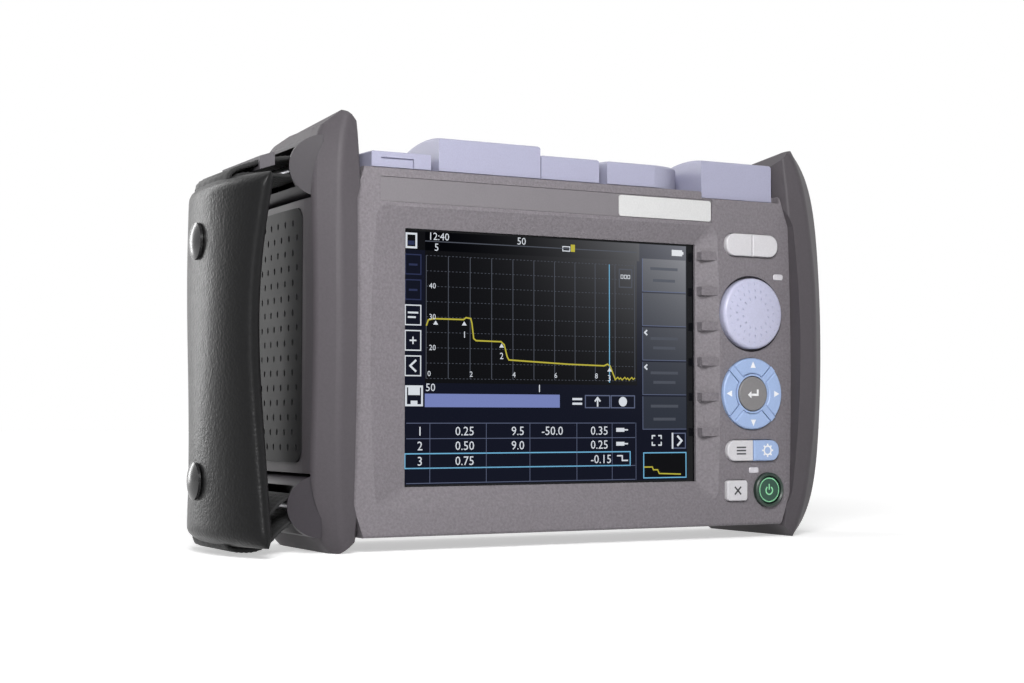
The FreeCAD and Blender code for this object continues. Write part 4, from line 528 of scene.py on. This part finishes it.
class REFLECTOMETER_OT_screen(bpy.types.Operator):
    """Finish the glass and draw a plain trace, grid and table on the display"""
    bl_idname = "reflectometer.screen"
    bl_label = "Screen"

    # name, colour and strength of each light on the display, and the colour of the painted reflection it fades to
    # towards the top right
    LIGHTS = (
        ("Display, dark field", "#06070b", 0.8, "#a2a3a8"),
        ("Display, table field", "#0a0e1e", 1.0, "#7c7e86"),
        ("Display, menu tile", "#2a2f3a", 1.0, "#a2a3a8"),
        ("Display, grid line", "#4a4e58", 1.0, "#6c6f77"),
        ("Display, table line", "#59617a", 1.0, "#7c86a2"),
        ("Display, white", "#d3d8df", 1.0, "#e6e8ec"),
        ("Display, trace yellow", "#b7ae3e", 1.0, "#c2b94a"),
        ("Display, bar blue", "#7480b6", 1.0, "#7d88bb"),
        ("Display, cursor blue", "#6fb0d4", 1.0, "#7ab8da"),
        ("Display, dim blue", "#2a3150", 1.0, "#333a5c"),
    )
    FIELD, TABLE, TILE, GRID, LINE, WHITE, TRACE, BAR, CURSOR, DIM = range(10)

    def execute(self, context):
        dress(coated_glass("Glass, hard coated, black"), "display_glass")
        low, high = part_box("display_glass")
        self.left = (low.x + high.x) / 2 - 59.3 * MM
        self.top = (low.z + high.z) / 2 + 43.2 * MM
        self.face = low.y
        self.mesh = bmesh.new()
        self.digits = []
        self.draw_fields()
        self.draw_graph()
        self.draw_table()
        self.draw_menu()
        materials = [lit(*light) for light in self.LIGHTS]
        picture = solid("display_picture", self.mesh, materials, "main")
        self.join_digits(picture, materials[self.WHITE])
        return {"FINISHED"}

    WIDE, TALL = 115.2, 86.4

    def spot(self, across, down):
        """A place on the display from shares of its width and height, measured from its top left corner."""
        return self.left + across * self.WIDE * MM, self.top - down * self.TALL * MM

    def area(self, left, top, right, low, index, layer=1):
        (x0, z0), (x1, z1) = self.spot(left, top), self.spot(right, low)
        front = self.face - 0.012 * MM * layer
        plate(self.mesh, [(x0, z1), (x1, z1), (x1, z0), (x0, z0)], front, front + 0.01 * MM, index)

    def frame_of(self, left, top, right, low, index, line=0.0035, layer=3):
        for box in ((left, top, right, top + line * 1.33), (left, low - line * 1.33, right, low),
                    (left, top, left + line, low), (right - line, top, right, low)):
            self.area(*box, index, layer)

    def stroke(self, points, width, index, layer=4):
        """A polyline of some width in mm."""
        places = [Vector(self.spot(*point)) for point in points]
        front = self.face - 0.012 * MM * layer
        for start, end in zip(places, places[1:]):
            along = (end - start).normalized()
            side = Vector((-along.y, along.x)) * width * MM / 2
            start, end = start - along * width * MM / 3, end + along * width * MM / 3
            corners = [start - side, end - side, end + side, start + side]
            plate(self.mesh, [tuple(corner) for corner in corners], front, front + 0.01 * MM, index)

    def number(self, text, across, down, size):
        """A plain number whose left lower corner is at a place; size is its height in mm."""
        x, z = self.spot(across, down)
        curve = bpy.data.curves.new("number", "FONT")
        curve.body = text
        curve.size = size * MM * 1.4
        curve.resolution_u = 2
        curve.extrude = 0.004 * MM
        digits = bpy.data.objects.new("number", curve)
        digits.location = (x, self.face - 0.055 * MM, z)
        digits.rotation_euler = (math.pi / 2, 0, 0)
        bpy.context.collection.objects.link(digits)
        self.digits.append(digits)

    def join_digits(self, picture, material):
        """Turn the numbers into one mesh piece."""
        bpy.context.view_layer.update()
        graph = bpy.context.evaluated_depsgraph_get()
        mesh = bmesh.new()
        for digits in self.digits:
            data = bpy.data.meshes.new_from_object(digits.evaluated_get(graph))
            data.transform(digits.matrix_world)
            mesh.from_mesh(data)
            bpy.data.meshes.remove(data)
            bpy.data.objects.remove(digits)
        for face in mesh.faces:
            face.material_index = 0
        solid("display_numbers", mesh, [material], "main")

    def draw_fields(self):
        self.area(0, 0, 1, 1, self.TABLE, 1)
        self.area(0.07, 0.0, 0.812, 0.6, self.FIELD, 2)
        self.area(0.0, 0.0, 0.822, 0.075, self.FIELD, 2)
        self.area(0.07, 0.036, 0.812, 0.04, self.GRID, 3)

    def draw_graph(self):
        left, right, top, low = 0.074, 0.804, 0.095, 0.582
        for place in range(11):
            across = left + (right - left) * place / 10
            self.area(across - 0.0012, top, across + 0.0012, low, self.GRID, 3)
        for place in range(9):
            down = top + (low - top) * place / 8
            for dot in range(60):
                across = left + (right - left) * dot / 60
                self.area(across, down - 0.0011, across + 0.006, down + 0.0011, self.GRID, 3)
        trace = [(0.075, 0.372), (0.081, 0.35), (0.1, 0.345), (0.198, 0.345), (0.206, 0.337), (0.222, 0.34),
                 (0.226, 0.36), (0.232, 0.42), (0.24, 0.428), (0.325, 0.43), (0.336, 0.442), (0.346, 0.49),
                 (0.352, 0.503), (0.43, 0.508), (0.56, 0.516), (0.69, 0.52), (0.702, 0.513), (0.712, 0.52),
                 (0.722, 0.55), (0.73, 0.573)]
        self.stroke(trace, 0.5, self.TRACE)
        noise = [(0.73 + 0.0052 * step, 0.578 - 0.011 * ((step * 7) % 5) / 4) for step in range(15)]
        self.stroke(noise, 0.4, self.TRACE)
        self.area(0.7085, top, 0.7115, 0.59, self.CURSOR, 4)
        for across, down in ((0.105, 0.352), (0.2, 0.352), (0.327, 0.437), (0.71, 0.527)):
            x, z = self.spot(across, down)
            front = self.face - 0.06 * MM
            size = 0.95 * MM
            plate(self.mesh, [(x - size, z - 1.5 * size), (x + size, z - 1.5 * size), (x, z)], front,
                  front + 0.01 * MM, self.WHITE)
        for text, across, down in (("40", 0.083, 0.225), ("30", 0.083, 0.348), ("20", 0.083, 0.47), ("0", 0.078, 0.573),
                                   ("2", 0.218, 0.573), ("4", 0.364, 0.573), ("6", 0.51, 0.573), ("8", 0.656, 0.573)):
            self.number(text, across, down, 1.9)
        for text, across, down in (("1", 0.194, 0.418), ("2", 0.32, 0.5), ("3", 0.702, 0.584)):
            self.number(text, across, down, 2.3)
        self.frame_of(0.745, 0.11, 0.795, 0.19, self.GRID)
        for place in range(3):
            self.frame_of(0.752 + 0.0125 * place, 0.135, 0.762 + 0.0125 * place, 0.152, self.WHITE, 0.002)
        # tool tiles down the left side
        for place, index in enumerate((self.DIM, self.DIM, self.WHITE, self.WHITE, self.WHITE)):
            top_edge = 0.092 + 0.1 * place
            self.frame_of(0.004, top_edge, 0.058, top_edge + 0.082, index)
        self.area(0.017, 0.13, 0.045, 0.138, self.DIM, 4)
        self.area(0.017, 0.23, 0.045, 0.238, self.DIM, 4)
        self.area(0.014, 0.32, 0.048, 0.327, self.WHITE, 4)
        self.area(0.014, 0.338, 0.04, 0.345, self.WHITE, 4)
        self.area(0.02, 0.43, 0.042, 0.436, self.WHITE, 4)
        self.area(0.0289, 0.4185, 0.0331, 0.4475, self.WHITE, 4)
        self.stroke([(0.04, 0.512), (0.022, 0.533), (0.04, 0.554)], 0.7, self.WHITE)
        # record and battery signs along the top
        self.frame_of(0.006, 0.008, 0.044, 0.07, self.WHITE, 0.006)
        self.area(0.014, 0.04, 0.035, 0.056, self.DIM, 4)
        self.area(0.945, 0.018, 0.985, 0.044, self.WHITE, 4)
        self.area(0.985, 0.025, 0.99, 0.037, self.WHITE, 4)
        self.frame_of(0.54, 0.028, 0.568, 0.05, self.WHITE, 0.003)
        self.area(0.57, 0.02, 0.585, 0.05, self.TRACE, 4)
        self.number("12:40", 0.08, 0.032, 2.6)
        self.number("50", 0.38, 0.032, 2.6)
        self.number("5", 0.1, 0.075, 2.6)

    def draw_table(self):
        self.area(0.07, 0.642, 0.53, 0.695, self.BAR, 3)
        self.frame_of(0.006, 0.61, 0.064, 0.692, self.WHITE, 0.006)
        self.area(0.016, 0.615, 0.054, 0.648, self.WHITE, 4)
        self.area(0.024, 0.67, 0.046, 0.685, self.WHITE, 4)
        self.area(0.575, 0.655, 0.61, 0.664, self.WHITE, 4)
        self.area(0.575, 0.674, 0.61, 0.683, self.WHITE, 4)
        self.frame_of(0.62, 0.642, 0.712, 0.697, self.LINE)
        self.frame_of(0.714, 0.642, 0.804, 0.697, self.LINE)
        self.stroke([(0.666, 0.688), (0.666, 0.655)], 0.6, self.WHITE)
        self.stroke([(0.657, 0.667), (0.666, 0.653), (0.675, 0.667)], 0.6, self.WHITE)
        x, z = self.spot(0.759, 0.669)
        front = self.face - 0.055 * MM
        plate(self.mesh, ring_points(x, z, 1.75 * MM, 20), front, front + 0.01 * MM, self.WHITE)
        for down in (0.757, 0.818, 0.935, 0.993):
            self.area(0.01, down, 0.804, down + 0.0028, self.LINE, 3)
        for across in (0.086, 0.274, 0.424, 0.59, 0.718, 0.806):
            self.area(across, 0.757, across + 0.0018, 0.996, self.LINE, 3)
        self.frame_of(0.004, 0.876, 0.787, 0.938, self.CURSOR)
        rows = ((0.807, ("1", "0.25", "9.5", "-50.0", "0.35")), (0.865, ("2", "0.50", "9.0", "", "0.25")),
                (0.925, ("3", "0.75", "", "", "-0.15")))
        for down, row in rows:
            for across, text in zip((0.045, 0.17, 0.36, 0.465, 0.64), row):
                if text:
                    self.number(text, across, down, 3.1)
        for down in (0.787, 0.845):
            self.stroke([(0.738, down), (0.76, down)], 1.4, self.WHITE)
            self.stroke([(0.76, down), (0.776, down)], 0.5, self.WHITE)
        self.stroke([(0.738, 0.895), (0.756, 0.895), (0.756, 0.915), (0.776, 0.915)], 0.5, self.WHITE)
        self.number("50", 0.072, 0.632, 2.7)
        self.number("1", 0.45, 0.632, 2.7)

    def draw_menu(self):
        for place in range(5):
            top = 0.062 + 0.146 * place
            self.area(0.832, top, 0.998, top + 0.14, self.TILE, 3)
            self.area(0.832, top + 0.137, 0.998, top + 0.14, self.LINE, 4)
            self.area(0.832, top, 0.8345, top + 0.14, self.LINE, 4)
        for place, rows in enumerate(((0.045, 0.095), (), (0.05, 0.09), (0.05, 0.09), (0.045, 0.1))):
            for turn, row in enumerate(rows):
                top = 0.062 + 0.146 * place + row - 0.01
                reach = 0.042 if turn else 0.052
                self.area(0.915 - reach, top, 0.915 + reach, top + 0.012, self.GRID, 5)
            if place in (2, 3):
                top = 0.062 + 0.146 * place + 0.022
                self.stroke([(0.849, top - 0.009), (0.841, top), (0.849, top + 0.009)], 0.6, self.WHITE, 5)
        for x_turn in (-1, 1):
            for z_turn in (-1, 1):
                x, z = 0.885 + 0.017 * x_turn, 0.832 + 0.02 * z_turn
                self.stroke([(x - 0.01 * x_turn, z), (x, z), (x, z - 0.012 * z_turn)], 0.5, self.WHITE)
        self.area(0.942, 0.8, 0.948, 0.868, self.WHITE, 4)
        self.frame_of(0.942, 0.8, 0.996, 0.868, self.LINE)
        self.stroke([(0.965, 0.815), (0.98, 0.834), (0.965, 0.853)], 0.8, self.WHITE)
        self.area(0.834, 0.882, 0.998, 0.992, self.FIELD, 2)
        self.frame_of(0.834, 0.882, 0.998, 0.992, self.CURSOR)
        self.stroke([(0.838, 0.944), (0.868, 0.944), (0.872, 0.956), (0.888, 0.956), (0.894, 0.972), (0.975, 0.976)],
                    0.45, self.TRACE)


class REFLECTOMETER_OT_strap(bpy.types.Operator):
    """Build the padded sleeve and the webbing loops of the hand strap"""
    bl_idname = "reflectometer.strap"
    bl_label = "Hand strap"

    def execute(self, context):
        looks, sizes = context.scene.finish_colours, context.scene.strap_sizes
        vinyl = leathercloth("Vinyl leathercloth, embossed, black", looks.pad)
        self.build_pad(sizes, vinyl)
        nylon = woven("Nylon webbing, grosgrain weave, black", looks.webbing, sizes.rib_pitch)
        self.build_webbing(sizes, nylon)
        # the caps of the rivets are enamelled: dark, smooth and bright at the rim
        enamel = moulded("Steel, pressed, black enamel", tone("#1f1f20"), 0.22, grain=1.5, depth=0.004,
                         shine=0.5)
        dress(enamel, "strap_rivets")
        return {"FINISHED"}

    def build_pad(self, sizes, vinyl):
        """A sleeve bent round the back of the hand: foam between two skins with rolled edges."""
        low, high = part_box("strap_pad")
        centre_x, centre_y = low.x + sizes.bend, (low.y + high.y) / 2
        reach = math.asin(min(0.99, (high.y - low.y) / 2 / sizes.bend))
        mesh = bmesh.new()
        around, along = 56, 44
        rings = []
        for step in range(along + 1):
            share = step / along
            rise = low.z + (high.z - low.z) * share
            # the ends close in a small roll
            end = min(share, 1 - share) * (high.z - low.z)
            roll = min(1.0, math.sqrt(max(0.0, 1 - (1 - min(1.0, end / (3.2 * MM))) ** 2)))
            ring = []
            for turn in range(around):
                angle = 2 * math.pi * turn / around
                # a flattened loop: long way round the bend, short way through the foam
                bend = math.copysign(abs(math.cos(angle)) ** 0.75, math.cos(angle))
                puff = math.copysign(abs(math.sin(angle)) ** 0.62, math.sin(angle))
                # the free front edge is drawn in at mid height
                waist = 1 - (0.2 * math.sin(share * math.pi) if bend < 0 else 0.0)
                swing = bend * (reach - 0.012 + 0.012 * roll) * waist
                crown = 1 + 0.06 * math.sin(share * math.pi)
                thick = sizes.pad_thick / 2 * (0.25 + 0.75 * roll) * crown
                edge = 0.5 * MM * (1 - roll)
                radius = sizes.bend - sizes.pad_thick / 2 * crown + puff * thick - edge
                lean = 0.9 * MM * math.sin(share * 2 * math.pi) * abs(bend)
                x = centre_x - radius * math.cos(swing) + lean
                y = centre_y + radius * math.sin(swing)
                ring.append(mesh.verts.new((x, y, rise)))
            rings.append(ring)
        for lower, upper in zip(rings, rings[1:]):
            for turn in range(around):
                after = (turn + 1) % around
                mesh.faces.new((lower[turn], lower[after], upper[after], upper[turn]))
        # the slots at both ends close in towards the webbing
        for ring in (rings[0], rings[-1]):
            half = around // 2
            for turn in range(half):
                mirror = (around - turn) % around
                after, mirror_after = turn + 1, (around - turn - 1) % around
                corners = [ring[turn], ring[after], ring[mirror_after], ring[mirror]]
                unique = list(dict.fromkeys(corners))
                if len(unique) > 2:
                    mesh.faces.new(unique)
        bmesh.ops.remove_doubles(mesh, verts=mesh.verts, dist=0.01 * MM)
        piece = solid("padded_sleeve", mesh, [vinyl], "main", smooth=True)
        piece.modifiers.new("round", "SUBSURF").render_levels = 1
        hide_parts("strap_pad")

    def build_webbing(self, sizes, nylon):
        """Two loops of webbing, each round its bar and into its end of the sleeve."""
        bars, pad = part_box("strap_bars"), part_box("strap_pad")
        radius = (bars[1].x - bars[0].x) / 2
        x = (bars[0].x + bars[1].x) / 2
        layer = pad[0].x + 5.5 * MM
        wrap = radius + 0.35 * MM + sizes.web_thick / 2
        mid_y = (bars[0].y + bars[1].y) / 2
        upper, lower = bars[1].z - radius, bars[0].z + radius
        top, foot = pad[1].z, pad[0].z
        circle = [(math.cos(math.radians(a)), math.sin(math.radians(a))) for a in (90, 45, 0, -45, -90)]
        over = [(layer - 0.9 * MM, top - 9 * MM), (layer - 0.9 * MM, top - 1 * MM), (layer + 0.4 * MM, top + 1.9 * MM),
                (layer + 6 * MM, top + 4.2 * MM), (x - 14 * MM, upper + 1.0 * MM), (x - 7 * MM, upper + 2.8 * MM)]
        under = [(x - 7 * MM, upper - wrap), (x - 15 * MM, upper - wrap - 0.2 * MM), (layer + 3 * MM, top + 0.9 * MM),
                 (layer + 0.9 * MM, top - 1.5 * MM), (layer + 0.9 * MM, top - 9 * MM)]
        path = over + [(x + wrap * a, upper + wrap * b) for a, b in circle] + under
        loops = [self.ribbon(path, mid_y, sizes)]
        below = [(layer - 0.9 * MM, foot + 9 * MM), (layer - 0.9 * MM, foot + 1 * MM), (layer + 1.2 * MM, foot - 1.4 * MM),
                 (x - 13 * MM, 1.7 * MM), (x - 6.5 * MM, lower - 7.2 * MM)]
        circle = [(math.cos(math.radians(a)), math.sin(math.radians(a))) for a in (-75, -40, 0, 45, 90)]
        above = [(x - 5 * MM, lower + wrap - 0.4 * MM), (x - 9 * MM, lower - 0.5 * MM), (layer + 7 * MM, foot + 2.2 * MM),
                 (layer + 1.6 * MM, foot + 0.2 * MM), (layer + 0.9 * MM, foot + 9 * MM)]
        path = below + [(x + wrap * a, lower + wrap * b) for a, b in circle] + above
        loops.append(self.ribbon(path, mid_y, sizes))
        mesh = bmesh.new()
        for loop in loops:
            mesh.from_mesh(loop)
            bpy.data.meshes.remove(loop)
        piece = solid("strap_webbing_loops", mesh, [nylon], "main", smooth=True)
        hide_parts("strap_webbing")

    def ribbon(self, path, mid_y, sizes):
        """A ribbed ribbon along a smooth line through the points of a path in XZ."""
        curve = bpy.data.curves.new("path", "CURVE")
        curve.dimensions = "3D"
        curve.resolution_u = 14
        spline = curve.splines.new("NURBS")
        spline.points.add(len(path) - 1)
        for point, (x, z) in zip(spline.points, path):
            point.co = (x, mid_y, z, 1)
        spline.use_endpoint_u = True
        spline.order_u = 3
        holder = bpy.data.objects.new("path", curve)
        line = bpy.data.meshes.new_from_object(holder)
        points = [Vector((v.co.x, v.co.z)) for v in line.vertices]
        bpy.data.objects.remove(holder)
        bpy.data.meshes.remove(line)
        # even steps of a quarter of a rib
        step = sizes.rib_pitch / 4
        even, left_over = [points[0]], 0.0
        for start, end in zip(points, points[1:]):
            reach = (end - start).length
            place = step - left_over
            while place <= reach:
                even.append(start.lerp(end, place / reach))
                place += step
            left_over = (left_over + reach) % step
        mesh = bmesh.new()
        half = sizes.web_wide / 2
        rows = []
        for place, point in enumerate(even):
            ahead, behind = even[min(place + 1, len(even) - 1)], even[max(place - 1, 0)]
            along = (ahead - behind).normalized()
            side = Vector((-along.y, along.x))
            rib = (0.5 + 0.5 * math.cos(2 * math.pi * place / 4)) * 0.16 * MM
            thick = sizes.web_thick / 2 - 0.1 * MM + rib
            outline = []
            for across, share in ((-half, 0.55), (-half + 0.8 * MM, 1), (half - 0.8 * MM, 1), (half, 0.55)):
                outline.append((across, thick * share))
            ring = [(across, up) for across, up in outline] + [(across, -up) for across, up in reversed(outline)]
            rows.append([mesh.verts.new((point.x + side.x * up, mid_y + across, point.y + side.y * up))
                         for across, up in ring])
        for first, second in zip(rows, rows[1:]):
            for place in range(8):
                after = (place + 1) % 8
                mesh.faces.new((first[place], first[after], second[after], second[place]))
        mesh.faces.new(rows[0][::-1])
        mesh.faces.new(rows[-1])
        data = bpy.data.meshes.new("ribbon")
        mesh.to_mesh(data)
        mesh.free()
        return data


class REFLECTOMETER_OT_stage(bpy.types.Operator):
    """Set up the floor, the lights, the world and the camera"""
    bl_idname = "reflectometer.stage"
    bl_label = "Stage"

    def execute(self, context):
        scene, sizes = context.scene, context.scene.stage_sizes
        self.lay_floor()
        self.light_room(scene)
        low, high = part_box("display_glass")
        glass = Vector(((low.x + high.x) / 2, low.y, (low.z + high.z) / 2))
        data = bpy.data.cameras.new("camera")
        data.lens = sizes.lens
        data.sensor_width = 36.0
        data.clip_start = 0.01
        camera = bpy.data.objects.new("camera", data)
        camera.location = glass + Vector((sizes.right, sizes.back, sizes.up))
        camera.rotation_euler = (math.pi / 2 + sizes.tilt, 0, -sizes.turn)
        context.collection.objects.link(camera)
        scene.camera = camera
        scene.view_settings.view_transform = "Standard"
        return {"FINISHED"}

    def lay_floor(self):
        mesh = bmesh.new()
        bmesh.ops.create_grid(mesh, x_segments=2, y_segments=2, size=6.0)
        data = bpy.data.meshes.new("floor")
        mesh.to_mesh(data)
        mesh.free()
        floor = bpy.data.objects.new("floor", data)
        bpy.context.collection.objects.link(floor)
        material, tree = blank("Paper roll, white")
        place = add(tree, "ShaderNodeTexCoord").outputs["Object"]
        fibre = add(tree, "ShaderNodeTexNoise", {"Scale": 400.0, "Detail": 2.0}, {"Vector": place})
        level = add(tree, "ShaderNodeMapRange", {"To Min": 0.86, "To Max": 0.9}, {"Value": fibre.outputs["Fac"]})
        path = add(tree, "ShaderNodeLightPath")
        matt = add(tree, "ShaderNodeBsdfDiffuse", links={"Color": level.outputs[0]})
        either = add(tree, "ShaderNodeMath", links={0: path.outputs["Is Camera Ray"], 1: path.outputs["Is Glossy Ray"]},
                     operation="MAXIMUM")
        away = add(tree, "ShaderNodeVectorMath", links={0: place}, operation="LENGTH")
        share = add(tree, "ShaderNodeMapRange",
                    {"From Min": 0.25, "From Max": 0.9, "To Min": NEAR_LIFT, "To Max": FAR_LIFT},
                    {"Value": away.outputs["Value"]})
        seen = add(tree, "ShaderNodeMath", links={0: either.outputs[0], 1: share.outputs[0]}, operation="MULTIPLY")
        lift = add(tree, "ShaderNodeEmission", {"Color": (1, 1, 1, 1)}, {"Strength": seen.outputs[0]})
        both = add(tree, "ShaderNodeAddShader", links={0: matt.outputs[0], 1: lift.outputs[0]})
        add(tree, "ShaderNodeOutputMaterial", links={"Surface": both.outputs[0]})
        data.materials.append(material)

    def light_room(self, scene):
        world = bpy.data.worlds.new("Studio")
        world.use_nodes = True
        tree = world.node_tree
        tree.nodes.clear()
        path = add(tree, "ShaderNodeLightPath")
        either = add(tree, "ShaderNodeMath", links={0: path.outputs["Is Camera Ray"], 1: path.outputs["Is Glossy Ray"]},
                     operation="MAXIMUM")
        either = add(tree, "ShaderNodeMath", links={0: either.outputs[0], 1: path.outputs["Is Transmission Ray"]},
                     operation="MAXIMUM")
        plain = add(tree, "ShaderNodeBackground", {"Color": (1, 1, 1, 1), "Strength": 0.07})
        white = add(tree, "ShaderNodeBackground", {"Color": (1, 1, 1, 1), "Strength": 1.0})
        mixed = add(tree, "ShaderNodeMixShader",
                    links={0: either.outputs[0], 1: plain.outputs[0], 2: white.outputs[0]})
        add(tree, "ShaderNodeOutputWorld", links={"Surface": mixed.outputs[0]})
        scene.world = world
        # name, place, what it is aimed at, width, height, power
        for name, place, aim, wide, tall, power in (
            ("key softbox", (-0.28, -0.52, 0.36), (-0.06, 0, 0.08), 0.25, 0.25, 4.5),
            ("left rim softbox", (-0.46, 0.9, 0.3), (-0.13, 0, 0.07), 0.16, 0.9, 4.0),
            ("top softbox", (-0.15, 0.2, 1.0), (0, 0, 0.05), 0.6, 0.5, 1.8),
            ("right rim softbox", (0.75, 0.0, 0.35), (0.1, 0, 0.08), 0.2, 0.6, 0.5),
        ):
            data = bpy.data.lights.new(name, "AREA")
            data.shape = "RECTANGLE"
            data.size, data.size_y = wide, tall
            data.energy = power
            lamp = bpy.data.objects.new(name, data)
            lamp.location = place
            lamp.rotation_euler = (Vector(aim) - Vector(place)).to_track_quat("-Z", "Y").to_euler()
            bpy.context.collection.objects.link(lamp)


class REFLECTOMETER_PT_panel(bpy.types.Panel):
    """Lists the operators and their sizes and colours"""
    bl_idname = "REFLECTOMETER_PT_panel"
    bl_label = "Reflectometer"
    bl_space_type = "VIEW_3D"
    bl_region_type = "UI"
    bl_category = "Reflectometer"

    def draw(self, context):
        column = self.layout.column()
        for operator in OPERATORS:
            column.operator(operator.bl_idname)
        for group in (context.scene.finish_colours, context.scene.strap_sizes, context.scene.stage_sizes):
            box = self.layout.box()
            for name in group.__annotations__:
                box.prop(group, name)


OPERATORS = (REFLECTOMETER_OT_case, REFLECTOMETER_OT_bumpers, REFLECTOMETER_OT_covers, REFLECTOMETER_OT_keys,
             REFLECTOMETER_OT_knob, REFLECTOMETER_OT_screen, REFLECTOMETER_OT_strap, REFLECTOMETER_OT_stage)
GROUPS = {"finish_colours": FinishColours, "strap_sizes": StrapSizes, "stage_sizes": StageSizes}


def register():
    for name, group in GROUPS.items():
        bpy.utils.register_class(group)
        setattr(bpy.types.Scene, name, PointerProperty(type=group))
    for item in (*OPERATORS, REFLECTOMETER_PT_panel):
        bpy.utils.register_class(item)


def unregister():
    for item in reversed((*OPERATORS, REFLECTOMETER_PT_panel)):
        bpy.utils.unregister_class(item)
    for name, group in GROUPS.items():
        delattr(bpy.types.Scene, name)
        bpy.utils.unregister_class(group)


def main():
    register()
    for operator in OPERATORS:
        group, name = operator.bl_idname.split(".")
        getattr(getattr(bpy.ops, group), name)()


if __name__ == "__main__":
    main()
